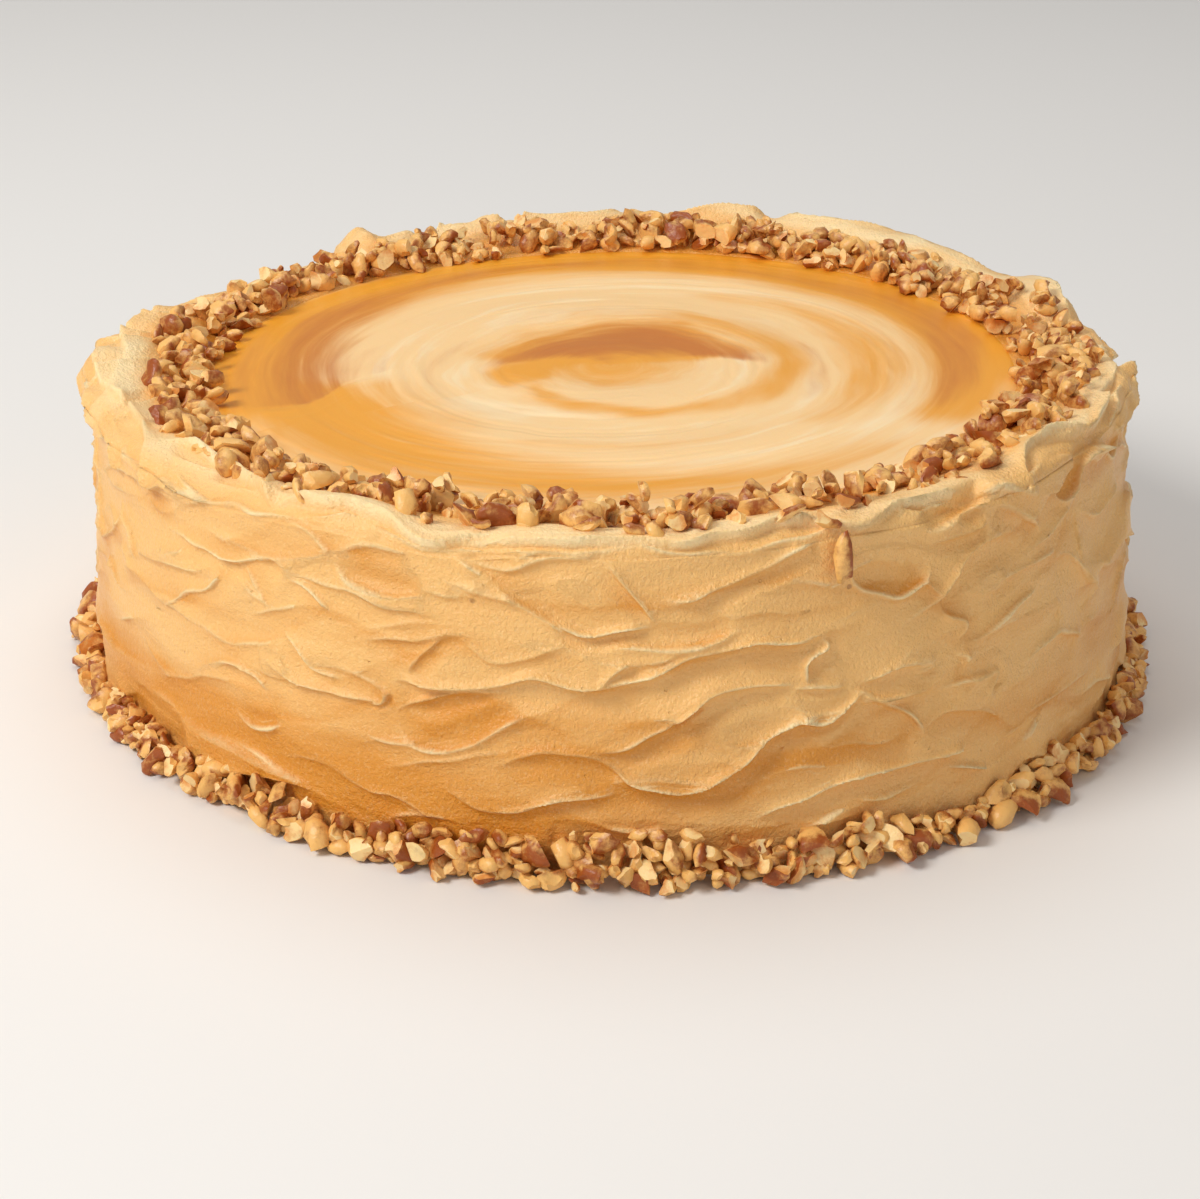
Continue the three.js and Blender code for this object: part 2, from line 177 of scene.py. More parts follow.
@dataclass(frozen=True)
class CakeForm:
    """The smooth form of the cake: its profile, and how it sits out of level and off centre."""

    belly_radius: float = 126.3
    belly_height: float = 20.0
    shoulder_radius: float = 121.3
    side_curve: float = 1.6
    rim_height: float = 72.4
    rim_turn: float = 3.4
    rim_rounding: float = 6.5
    top_height: float = 69.0
    top_radius: float = 97.0
    top_dip: float = 0.5
    top_slope: float = 0.036
    top_shift: float = -2.0
    heap_radius: float = 129.0
    heap_oval: float = 1.6
    lobe_reach: float = 16.0
    tuck: float = 3.0  # how far the rim's inner slope runs on under the marbled top
    tuck_drop: float = 0.6  # and how far it falls there for each millimetre inwards
    side_steps: int = 160
    turn_steps: int = 60
    slope_steps: int = 80
    tuck_steps: int = 10
    side_waves: tuple[Wave, ...] = (Wave(3, 0.5), Wave(7, 0.45, 3.0), Wave(11, 0.35, -5.2))
    rim_waves: tuple[Wave, ...] = (Wave(13, 0.5), Wave(23, 0.3))
    lobes: tuple[Lobe, ...] = (
        Lobe(-143, 2.6, 6.5), Lobe(-130, 20, -2.6), Lobe(-90, 17, 2.4, 4.4), Lobe(-30, 9, 1.6, 0.4),
        Lobe(-6, 6, 0.9), Lobe(15, 7, 1.4, 0.3), Lobe(45, 8, 1.8, 1.6), Lobe(70, 9, 1.0, 0.6),
        Lobe(97, 12, -3.0), Lobe(110, 5, 1.6, 2.8), Lobe(122, 7, -1.6), Lobe(150, 12, 0.8, 0.5),
        Lobe(166, 12, 2.0),
    )

    @property
    def crest_radius(self) -> float:
        """Where the rim is highest."""
        return self.shoulder_radius - self.rim_rounding

    def side_radius(self, height: Array) -> Array:
        """The side's radius at a height."""
        above = np.clip((height - self.belly_height) / (self.rim_height - self.belly_height), 0.0, 1.0)
        return lerp(self.belly_radius, self.shoulder_radius, above**self.side_curve)

    def slope_height(self, radius: Array) -> Array:
        """The height of the rim's inner slope at a radius, down to the marbled top."""
        down = np.clip((self.crest_radius - radius) / (self.crest_radius - self.top_radius), 0.0, 1.0)
        return lerp(self.rim_height, self.top_height, smoothstep(0.0, 1.0, down))

    def rim_lobe(self, azimuth: Array) -> tuple[Array, Array]:
        """The rim's unevenness.

        Args:
            azimuth: Degrees from the front.

        Returns:
            How far the rim is lifted, and how far pushed out, at each.
        """
        lift = sum(wave.at(azimuth) for wave in self.rim_waves)
        out = np.zeros_like(azimuth)
        for lobe in self.lobes:
            share = np.exp(-((wrapped(azimuth - lobe.azimuth) / lobe.half) ** 2))
            lift = lift + lobe.lift * share
            out = out + lobe.out * share
        return lift, out

    def settled(self, azimuth: Array, radius: Array, height: Array) -> Array:
        """Sets points of the round form out of level and off centre.

        Args:
            azimuth: Degrees from the front.
            radius: Millimetres from the axis.
            height: Millimetres above the base.

        Returns:
            The points, with x, y and z along the last axis.
        """
        a = np.radians(azimuth)
        share = height / self.top_height
        x = radius * np.sin(a)
        y = -radius * np.cos(a)
        return np.stack([x + self.top_shift * share, y, height + self.top_slope * x * share], axis=-1)

    def heap_spread(self, azimuth: Array) -> Array:
        """How much further out the heap at the foot lies at an azimuth."""
        return -self.heap_oval * np.cos(np.radians(2 * azimuth))

    def profile(self, rise: Array) -> tuple[Array, Array, Array, Array]:
        """The profile by its length from the foot, up the side, over the rim and down inside it.

        Args:
            rise: Millimetres along the profile.

        Returns:
            Radius, height, and the outward normal's two parts, at each.
        """
        side = np.linspace(0.0, self.rim_height - self.rim_turn, self.side_steps)
        turn = np.radians(np.linspace(0.0, RIGHT_ANGLE, self.turn_steps)[1:])
        down = np.linspace(0.0, 1.0, self.slope_steps)[1:]
        crest = self.crest_radius
        slope = lerp(crest, self.top_radius, down)
        under = np.linspace(0.0, self.tuck, self.tuck_steps)[1:]
        radius = np.concatenate([self.side_radius(side), crest + self.rim_rounding * np.cos(turn),
                                 slope, self.top_radius - under])
        height = np.concatenate([side, self.rim_height - self.rim_turn * (1 - np.sin(turn)),
                                 self.slope_height(slope), self.top_height - self.tuck_drop * under])
        along = np.concatenate([[0.0], np.cumsum(np.hypot(np.diff(radius), np.diff(height)))])
        out = np.gradient(height, along)
        up = -np.gradient(radius, along)
        return tuple(np.interp(rise, along, values) for values in (radius, height, out, up))

    @property
    def profile_length(self) -> float:
        """Roughly how long the profile is, from the foot to its inner end."""
        turn = 0.25 * math.pi * (self.rim_rounding + self.rim_turn)
        return self.rim_height - self.rim_turn + turn + (self.crest_radius - self.top_radius) + self.tuck


# ---- Frosting, unrolled flat ----


@dataclass(frozen=True)
class Boldness:
    """How many times wider, deeper and higher of lip strokes are drawn than they are listed."""

    width: float = 1.25
    dig: float = 2.3
    lip: float = 1.65
    laid_dig: float = 1.05  # frosting that is laid on gets this on top of dig
    laid_lip: float = 1.2  # and this on top of lip
    caramel: float = 0.5  # how much of its caramel a stroke that cuts in keeps


@dataclass(frozen=True)
class Sweep:
    """One stroke of the palette knife.

    The blade's one edge cuts in along the path and pushes up a thin lip there, and the stroke's face
    slopes from that edge back to the level round it. The face lies to the left of the path's direction
    where width is above 0, and to its right below 0. A dig below 0 is frosting laid on, whose face
    stands proud at the edge.
    """

    path: Path
    width: float
    dig: float
    lip: float
    caramel: float = 0.0

    def moved(self, shift: float, mirror: bool, raised: float) -> "Sweep":
        """The same stroke elsewhere.

        Args:
            shift: Degrees that it moves round the cake, or that it is mirrored at.
            mirror: Whether it runs the other way round.
            raised: Millimetres that it moves up.

        Returns:
            The new stroke.
        """
        sign = -1 if mirror else 1
        path = tuple((shift + sign * azimuth, rise + raised) for azimuth, rise in self.path)
        return Sweep(path, sign * self.width, self.dig, self.lip, self.caramel)

    def bolder(self, bold: Boldness) -> "Sweep":
        """The same stroke as a bolder hand draws it.

        Args:
            bold: How much bolder.

        Returns:
            The new stroke.
        """
        width = self.width * bold.width
        if self.dig < 0:
            dig = bold.laid_dig * self.dig * bold.dig
            lip = bold.laid_lip * self.lip * bold.lip
            return Sweep(self.path, width, dig, lip, self.caramel)
        return Sweep(self.path, width, self.dig * bold.dig, self.lip * bold.lip, bold.caramel * self.caramel)


@dataclass(frozen=True)
class Stain:
    """A patch of frosting with more caramel in it, as a soft oval."""

    azimuth: float
    rise: float
    half_across: float
    half_up: float
    strength: float

    def at(self, azimuth: Array, rise: Array) -> Array:
        """The patch's share of caramel at each place."""
        across = wrapped(azimuth - self.azimuth) / self.half_across
        up = (rise - self.rise) / self.half_up
        return self.strength * np.exp(-(across**2 + up**2))


@dataclass
class Sheet:
    """A sheet of frosting in rows up it and columns round the cake: its height, and its caramel, which also
    holds painted shade under the strokes' crests.
    """

    rows: int
    columns: int
    low: float
    high: float
    mm_per_degree: float
    seed: int
    waver: float = 0.42  # how far a stroke's line strays from its smooth curve
    waver_size: Span = (2.4, 3.2)
    fade: float = 0.4  # share of its length in which a stroke comes in
    longest_fade: float = 13.0
    edge: float = 0.26  # half the width in which a stroke's edge drops
    whole: float = 0.5  # share of its width over which a stroke's face is whole
    bend: float = 1.3  # the higher, the sooner a face runs out away from its edge
    scoop: float = 2.2  # how soon a stroke's face falls away from its edge
    scoop_gain: float = 1.5
    painted_shade: float = 0.3  # painted shade: how much deeper the frosting's colour is made in the hollow under a stroke's crest
    # how far from the edge that painted shade reaches
    painted_shade_reach: float = 3.2
    lip_inside: float = 0.38
    lip_outside: float = 0.95
    lip_level: float = 0.8  # a lip's mean height, and then how it varies along the stroke:
    lip_waves: tuple[tuple[float, float, int], ...] = ((0.25, 3.7, 1), (0.1, 1.9, 2))  # depth, length, phase
    shoulder: float = 3.5  # how far outside a lip the frosting is pushed up
    shoulder_height: float = 0.4  # as a share of the lip
    kept: float = 0.12  # share of the older relief that a stroke's face keeps
    streak: float = 0.045  # depth of the lines that the blade draws along a stroke's face
    streak_width: float = 0.7
    far: float = 1.6  # how far from an edge the material still knows of it
    flow_share: float = 0.35  # where a face covers more than this, the streaks follow it
    least_end: float = 0.03  # where a stroke has come in less than this, it has no edge yet

    def __post_init__(self) -> None:
        """Lays out the empty sheet."""
        self.rng = np.random.default_rng(self.seed)
        self.azimuth = np.linspace(-HALF_TURN, HALF_TURN, self.columns, endpoint=False)
        self.rise = np.linspace(self.low, self.high, self.rows)
        self.shape = (self.rows, self.columns)
        self.step = (self.rise[1] - self.rise[0], FULL_TURN / self.columns * self.mm_per_degree)
        self.height = np.zeros(self.shape)
        self.caramel = np.zeros(self.shape)
        self.flow = np.repeat(self.rise[:, None], self.columns, axis=1)
        self.edge_gap = np.full(self.shape, self.far)
        self.edge_lip = np.zeros(self.shape)
        self.stray = [self.waver * self.noise(*self.waver_size) for _ in range(2)]

    def noise(self, up: float, across: float) -> Array:
        """Smooth noise over the sheet, with lumps of that many millimetres."""
        return soft_noise(self.shape, self.step, (up, across), self.rng)

    def window(self, line: Array, reach: float) -> tuple[Array, Array]:
        """Finds the part of the sheet round a line.

        Args:
            line: The line's points.
            reach: How far from it the part reaches.

        Returns:
            The rows and the columns, which may run past the seam.
        """
        near_row = (line[:, 1].min() - reach - self.low) / self.step[0]
        far_row = (line[:, 1].max() + reach - self.low) / self.step[0]
        rows = np.arange(max(0, int(near_row)), min(self.rows, int(far_row) + 2))
        start = (line[:, 0].min() - reach + HALF_TURN * self.mm_per_degree) / self.step[1]
        end = (line[:, 0].max() + reach + HALF_TURN * self.mm_per_degree) / self.step[1]
        return rows, np.arange(math.floor(start), math.ceil(end) + 1)

    def sweep(self, stroke: Sweep) -> None:
        """Draws one stroke of the knife over what is there.

        Args:
            stroke: The stroke.
        """
        line = curve_through(np.array(stroke.path) * [self.mm_per_degree, 1.0])
        width = abs(stroke.width)
        rows, columns = self.window(line, width + 2 * self.shoulder)
        if rows.size == 0:
            return
        place = np.ix_(rows, columns % self.columns)
        x = columns[None, :] * self.step[1] - HALF_TURN * self.mm_per_degree + self.stray[0][place]
        y = self.rise[rows][:, None] + self.stray[1][place]
        distance, along, length = self.measure(line, x, y)
        distance = distance * np.sign(stroke.width)
        fade = min(self.fade * length, self.longest_fade)
        ends = smoothstep(0.0, fade, along) * (1 - smoothstep(length - self.fade * fade, length, along))
        face = smoothstep(-self.edge, self.edge, distance)
        face = face * (1 - smoothstep(self.whole * width, width, distance)) * ends
        level = self.face_level(stroke, distance) + self.blade_lines(width, distance)
        lip = self.lip_height(stroke, distance, along) * ends
        self.height[place] = self.height[place] * lerp(1.0, self.kept, face) + face * level + lip
        # Painted shade: the colour is made deeper in the hollow under the crest of a stroke that cuts in.
        under = self.painted_shade * np.exp(-np.maximum(distance, 0.0) / self.painted_shade_reach) * (stroke.dig > 0)
        self.caramel[place] += (stroke.caramel + under) * face
        self.remember(stroke, place, distance, along, face, ends)

    def face_level(self, stroke: Sweep, distance: Array) -> Array:
        """The shape of a stroke's face.

        Args:
            stroke: The stroke.
            distance: How far each place is from its edge.

        Returns:
            The face's height at each.
        """
        width = abs(stroke.width)
        level = -stroke.dig * (1 - np.clip(distance / width, 0.0, 1.0)) ** self.bend
        if stroke.dig > 0:
            level = self.scoop_gain * level * (1 - np.exp(-np.maximum(distance, 0.0) / self.scoop))
        return level

    def blade_lines(self, width: float, distance: Array) -> Array:
        """The fine lines that the blade's edge draws along a face of some width."""
        lines = self.rng.standard_normal(int(width / self.streak_width) + 3)
        return self.streak * np.interp(distance / self.streak_width, np.arange(lines.size), lines)

    def ragged(self, stroke: Sweep, along: Array) -> Array:
        """How a stroke's lip varies.

        Args:
            stroke: The stroke.
            along: Where each place is along it.

        Returns:
            The lip's height at each, as a share of what the stroke gives.
        """
        start = stroke.path[0][0] + stroke.path[0][1]
        share = self.lip_level
        for depth, length, phase in self.lip_waves:
            share = share + depth * np.sin(along / length + phase * start)
        return share

    def lip_height(self, stroke: Sweep, distance: Array, along: Array) -> Array:
        """The lip along a stroke's edge, with the shoulder that is pushed up outside it.

        Args:
            stroke: The stroke.
            distance: How far each place is from its edge.
            along: Where it is along it.

        Returns:
            The height that they add at each.
        """
        fall = distance * np.sign(stroke.dig)
        spread = np.where(fall < 0, self.lip_outside, self.lip_inside)
        pushed = np.exp(-((distance / spread) ** 2))
        shoulder = self.shoulder_height * np.exp(np.minimum(distance, 0.0) / self.shoulder)
        pushed = pushed + shoulder * (distance < 0) * (stroke.dig > 0)
        return stroke.lip * pushed * self.ragged(stroke, along)

    def remember(self, stroke: Sweep, place: tuple[Array, Array], distance: Array, along: Array,
                 face: Array, ends: Array) -> None:
        """Notes for the material how far each place is from its nearest edge, and how high the lip is there.

        Args:
            stroke: The stroke that was drawn.
            place: The rows and columns of the sheet round it.
            distance: How far they are from its edge.
            along: Where they are along it.
            face: The share of each that its face covers.
            ends: How far the stroke has come in at each, from 0 to 1.
        """
        self.flow[place] = np.where(face > self.flow_share, distance, self.flow[place])
        gap = np.where(face > 0.5, np.sign(self.edge_gap[place]) * self.far, self.edge_gap[place])
        lip = np.where(face > 0.5, 0.0, self.edge_lip[place])
        nearer = (np.abs(distance) < np.abs(gap)) & (ends > self.least_end)
        self.edge_gap[place] = np.where(nearer, distance * np.sign(stroke.dig), gap)
        self.edge_lip[place] = np.where(nearer, stroke.lip * self.ragged(stroke, along) * ends, lip)

    @property
    def lip(self) -> Array:
        """How high the lip is of the edge that each place lies near, the less the further away it is."""
        return self.edge_lip * np.clip(1 - np.abs(self.edge_gap) / self.far, 0.0, 1.0)

    @staticmethod
    def measure(line: Array, x: Array, y: Array) -> tuple[Array, Array, float]:
        """How points lie to a line.

        Args:
            line: The line's points, one a row.
            x: Where the points are along the sheet.
            y: And up it.

        Returns:
            Each point's distance, above 0 to the line's left, its place along the line, and the line's
            length.
        """
        nearest = np.full(x.shape, np.inf)
        signed = np.zeros(x.shape)
        along = np.zeros(x.shape)
        done = 0.0
        for start, end in zip(line, line[1:]):
            dx, dy = end - start
            length = math.hypot(dx, dy)
            t = np.clip(((x - start[0]) * dx + (y - start[1]) * dy) / length**2, 0.0, 1.0)
            gap_x = x - start[0] - t * dx
            gap_y = y - start[1] - t * dy
            distance = np.hypot(gap_x, gap_y)
            closer = distance < nearest
            nearest = np.where(closer, distance, nearest)
            signed = np.where(closer, np.sign(dx * gap_y - dy * gap_x) * distance, signed)
            along = np.where(closer, done + t * length, along)
            done += length
        return signed, along, done


# ---- Meshes ----


def deselect() -> None:
    """Leaves edit mode and deselects everything, the frame's nodes too."""
    if bpy.context.object and bpy.context.object.mode != "OBJECT":
        bpy.ops.object.mode_set(mode="OBJECT")
    bpy.ops.object.select_all(action="DESELECT")


def take_up(piece: Piece) -> None:
    """Selects one piece alone, for the operators to act on."""
    deselect()
    piece.select_set(True)
    bpy.context.view_layer.objects.active = piece


def grid_piece(name: str, rows: int, columns: int) -> Piece:
    """A flat grid, the start of a sheet of frosting.

    Args:
        name: The piece's name.
        rows: Triples of points.
        columns: Columns of points round the cake. One more is made, which closes the ring.

    Returns:
        The new object.
    """
    deselect()
    bpy.ops.mesh.primitive_grid_add(x_subdivisions=columns, y_subdivisions=rows - 1, size=2.0)
    piece = bpy.context.object
    piece.name = name
    piece.data.name = name
    return piece


def set_points(piece: Piece, points: Array) -> None:
    """Moves a mesh's vertices, given in millimetres."""
    piece.data.vertices.foreach_set("co", (points.reshape(-1, 3) * MM).astype(np.float32).ravel())
    piece.data.update()


def points_of(piece: Piece) -> Array:
    """A mesh's vertices, in millimetres."""
    points = np.empty(len(piece.data.vertices) * 3, np.float32)
    piece.data.vertices.foreach_get("co", points)
    return points.reshape(-1, 3).astype(float) / MM


def set_attribute(piece: Piece, name: str, values: Array) -> None:
    """Stores a value for each vertex, for the materials to read.

    Args:
        piece: The piece.
        name: The attribute's name.
        values: A number or a vector for each, one a row.
    """
    kind, key = ("FLOAT_VECTOR", "vector") if values.shape[-1] == 3 else ("FLOAT", "value")
    attribute = piece.data.attributes.new(name, kind, "POINT")
    attribute.data.foreach_set(key, values.astype(np.float32).ravel())


def closed_ring(values: Array) -> Array:
    """A sheet's values with its first column again at the end, as the grid has it."""
    return np.concatenate([values, values[:, :1]], axis=1)


def merge_seam(piece: Piece) -> None:
    """Joins the grid's last column to its first."""
    take_up(piece)
    bpy.ops.object.mode_set(mode="EDIT")
    bpy.ops.mesh.select_all(action="SELECT")
    bpy.ops.mesh.remove_doubles(threshold=MERGE_GAP * MM)
    bpy.ops.object.mode_set(mode="OBJECT")


def close_edge(piece: Piece, is_edge: Callable[[Array], Array], drop: float = 0.0) -> None:
    """Closes an open ring of a piece with a fan to its middle.

    Args:
        piece: The piece.
        is_edge: Says which of the points given to it belong to the ring.
        drop: How far below the ring the fan lies.
    """
    counts = np.zeros(len(piece.data.edges), int)
    edge_of = np.empty(len(piece.data.loops), int)
    piece.data.loops.foreach_get("edge_index", edge_of)
    np.add.at(counts, edge_of, 1)
    ends = np.empty(len(piece.data.edges) * 2, int)
    piece.data.edges.foreach_get("vertices", ends)
    inside = is_edge(points_of(piece))[ends.reshape(-1, 2)].all(axis=1)
    take_up(piece)
    bpy.ops.object.mode_set(mode="EDIT")
    bpy.ops.mesh.select_mode(type="EDGE")
    bpy.ops.mesh.select_all(action="DESELECT")
    bpy.ops.object.mode_set(mode="OBJECT")
    piece.data.edges.foreach_set("select", (counts == 1) & inside)
    bpy.ops.object.mode_set(mode="EDIT")
    if drop:
        bpy.ops.mesh.extrude_region_move(TRANSFORM_OT_translate={"value": (0.0, 0.0, -drop * MM)})
    bpy.ops.mesh.extrude_region_move()
    bpy.ops.mesh.merge(type="CENTER")
    bpy.ops.object.mode_set(mode="OBJECT")


def apply_modifier(piece: Piece, kind: str, **settings: object) -> None:
    """Adds a modifier to a piece and applies it.

    Args:
        piece: The piece.
        kind: The modifier's type.
        settings: Its settings, by their names.
    """
    modifier = piece.modifiers.new(kind.lower(), kind)
    for key, value in settings.items():
        setattr(modifier, key, value)
    take_up(piece)
    bpy.ops.object.modifier_apply(modifier=modifier.name)


def smooth(piece: Piece, angle: float = HALF_TURN) -> None:
    """Shades a piece smooth.

    Args:
        piece: The piece.
        angle: The angle in degrees from which an edge is shaded sharp.
    """
    take_up(piece)
    if angle < HALF_TURN:
        bpy.ops.object.shade_smooth_by_angle(angle=math.radians(angle))
    else:
        bpy.ops.object.shade_smooth()


# ---- Finishes ----


@dataclass(frozen=True)
class Cloud:
    """A kind of noise: its lumps to the vector's unit, and how finely they are broken up."""

    scale: float
    detail: float = 2.0
    roughness: float = 0.5


class Bench:
    """Lays out the nodes of one material or node group."""

    def __init__(self, tree: bpy.types.NodeTree) -> None:
        """Starts on a tree.

        Args:
            tree: The node tree to lay the nodes out in.
        """
        self.tree = tree

    def add(self, kind: str, inputs: dict[str | int, object] | None = None,
            **settings: object) -> bpy.types.Node:
        """Adds a node.

        Args:
            kind: The node's type.
            inputs: For each input, by name or number, the socket that feeds it or its value.
            settings: The node's own settings.

        Returns:
            The node.
        """
        node = self.tree.nodes.new(kind)
        node.location = (180 * len(self.tree.nodes), 0)
        for key, value in settings.items():
            setattr(node, key, value)
        for key, value in (inputs or {}).items():
            if isinstance(value, Socket):
                self.tree.links.new(value, node.inputs[key])
            else:
                node.inputs[key].default_value = value
        return node

    def math(self, operation: str, *values: object) -> Socket:
        """One sum of sockets or numbers."""
        return self.add("ShaderNodeMath", dict(enumerate(values)), operation=operation).outputs[0]

    def ramp(self, value: object, low: float, high: float) -> Socket:
        """A smooth rise from 0 at low to 1 at high."""
        inputs = {"Value": value, "From Min": low, "From Max": high}
        return self.add("ShaderNodeMapRange", inputs, interpolation_type="SMOOTHSTEP").outputs[0]

    def noise(self, vector: object, cloud: Cloud) -> Socket:
        """Noise from 0 to 1."""
        inputs = {"Vector": vector, "Scale": cloud.scale, "Detail": cloud.detail,
                  "Roughness": cloud.roughness}
        return self.add("ShaderNodeTexNoise", inputs).outputs["Fac"]

    def cells(self, vector: object, scale: float) -> Socket:
        """How far each place is from the nearest of scattered points, scale of them to the unit."""
        return self.add("ShaderNodeTexVoronoi", {"Vector": vector, "Scale": scale}).outputs["Distance"]

    def mix(self, share: object, first: object, second: object) -> Socket:
        """A colour between two."""
        node = self.add("ShaderNodeMix", {0: share, 6: first, 7: second}, data_type="RGBA")
        return node.outputs[2]

    def attribute(self, name: str, output: str = "Fac") -> Socket:
        """What a piece's vertices carry under a name."""
        return self.add("ShaderNodeAttribute", attribute_name=name).outputs[output]


def new_group(name: str, inputs: dict[str, str], outputs: dict[str, str]) -> tuple[
        bpy.types.NodeTree, Bench, bpy.types.Node, bpy.types.Node]:
    """Starts a shader node group.

    Args:
        name: The group's name.
        inputs: Its inputs' names and socket types.
        outputs: Its outputs' names and socket types.

    Returns:
        The group, a bench for it, and its input and output nodes.
    """
    tree = bpy.data.node_groups.new(name, "ShaderNodeTree")
    for in_out, sockets in (("INPUT", inputs), ("OUTPUT", outputs)):
        for socket, kind in sockets.items():
            tree.interface.new_socket(socket, in_out=in_out, socket_type=kind)
    bench = Bench(tree)
    return tree, bench, bench.add("NodeGroupInput"), bench.add("NodeGroupOutput")


@dataclass(frozen=True)
class Grain:
    """The fine surface of whipped buttercream: broad mottling, a grain of air and sugar, and a few pits."""

    mottle: Cloud = Cloud(38.0, 4.0, 0.6)
    grain: Cloud = Cloud(1050.0, 3.0, 0.6)
    fine: Cloud = Cloud(2300.0, 1.0)
    fine_share: float = 0.35
    pit_scale: float = 330.0
    pit_wall: Span = (0.13, 0.05)
    pit_places: Cloud = Cloud(90.0, 1.0)
    pit_rarity: Span = (0.55, 0.65)

    def group(self) -> bpy.types.NodeTree:
        """Makes the node group, or finds the one that is there.

        Returns:
            The group.
        """
        name = "buttercream_grain"
        if name in bpy.data.node_groups:
            return bpy.data.node_groups[name]
        tree, bench, given, out = new_group(
            name, {"Vector": "NodeSocketVector"},
            {"Mottle": "NodeSocketFloat", "Height": "NodeSocketFloat", "Pit": "NodeSocketFloat"})
        vector = given.outputs["Vector"]
        fine = bench.math("MULTIPLY", bench.noise(vector, self.fine), self.fine_share)
        height = bench.math("ADD", bench.noise(vector, self.grain), fine)
        rare = bench.ramp(bench.noise(vector, self.pit_places), *self.pit_rarity)
        pit = bench.math("MULTIPLY", bench.ramp(bench.cells(vector, self.pit_scale), *self.pit_wall), rare)
        tree.links.new(pit, out.inputs["Pit"])
        tree.links.new(bench.noise(vector, self.mottle), out.inputs["Mottle"])
        tree.links.new(height, out.inputs["Height"])
        return tree


@dataclass(frozen=True)
class Crest:
    """The thin crest of a stroke's lip and the hollow beside it, finer than the mesh. The material raises
    the crest as a bump and paints a highlight on it, and paints shade into the hollow.

    Both follow the distance to the stroke's edge in millimetres, which the mesh's vertices carry.
    """

    half: float = 0.75
    hollow_start: float = 0.12
    hollow_middle: float = 0.45
    hollow_end: float = 1.3

    def group(self) -> bpy.types.NodeTree:
        """Makes the node group.

        Returns:
            The group.
        """
        tree, bench, given, out = new_group(
            "lip_crest", {"Gap": "NodeSocketFloat", "Lip": "NodeSocketFloat"},
            {"Crest": "NodeSocketFloat", "Hollow": "NodeSocketFloat"})
        gap, lip = given.outputs["Gap"], given.outputs["Lip"]
        crest = bench.ramp(bench.math("ABSOLUTE", gap), self.half, 0.0)
        # The hollow beside a crest, which the material darkens as painted shade.
        hollow = bench.math("MULTIPLY", bench.ramp(gap, self.hollow_start, self.hollow_middle),
                            bench.ramp(gap, self.hollow_end, self.hollow_middle))
        tree.links.new(bench.math("MULTIPLY", crest, lip), out.inputs["Crest"])
        tree.links.new(bench.math("MULTIPLY", hollow, lip), out.inputs["Hollow"])
        return tree


@dataclass(frozen=True)
class Gloss:
    """The numbers of a finish that are the same all over it."""

    roughness: float
    subsurface: float
    subsurface_scale: float
    coat: float = 0.0
    coat_roughness: float = 0.3
    specular: float = 0.5
    bleed: tuple[float, float, float] = (1.0, 0.55, 0.25)  # how far red, green and blue light spreads inside

    def shader(self, bench: Bench) -> bpy.types.Node:
        """Adds a surface shader with these numbers, linked to the output.

        Args:
            bench: Where the nodes go.

        Returns:
            The shader's node.
        """
        node = bench.add("ShaderNodeBsdfPrincipled", {
            "Roughness": self.roughness, "Subsurface Weight": self.subsurface,
            "Subsurface Scale": self.subsurface_scale, "Subsurface Radius": self.bleed,
            "Coat Weight": self.coat, "Coat Roughness": self.coat_roughness,
            "Specular IOR Level": self.specular})
        out = bench.add("ShaderNodeOutputMaterial")
        bench.tree.links.new(node.outputs["BSDF"], out.inputs["Surface"])
        return node

    def dressed(self, bench: Bench, colour: object, height: object, distance: float,
                strength: float) -> None:
        """Adds a surface shader with a colour and a bump.

        Args:
            bench: Where the nodes go.
            colour: The colour's socket.
            height: The socket of the bump's height.
            distance: How far a height of 1 stands out, in metres.
            strength: The bump's strength.
        """
        node = self.shader(bench)
        bump = bench.add("ShaderNodeBump", {"Strength": strength, "Distance": distance, "Height": height})
        bench.tree.links.new(colour, node.inputs["Base Color"])
        bench.tree.links.new(bump.outputs["Normal"], node.inputs["Normal"])


def blank_material(name: str) -> tuple[bpy.types.Material, Bench]:
    """A material with no nodes yet, and a bench for it."""
    material = bpy.data.materials.new(name)
    material.use_nodes = True
    material.node_tree.nodes.clear()
    return material, Bench(material.node_tree)


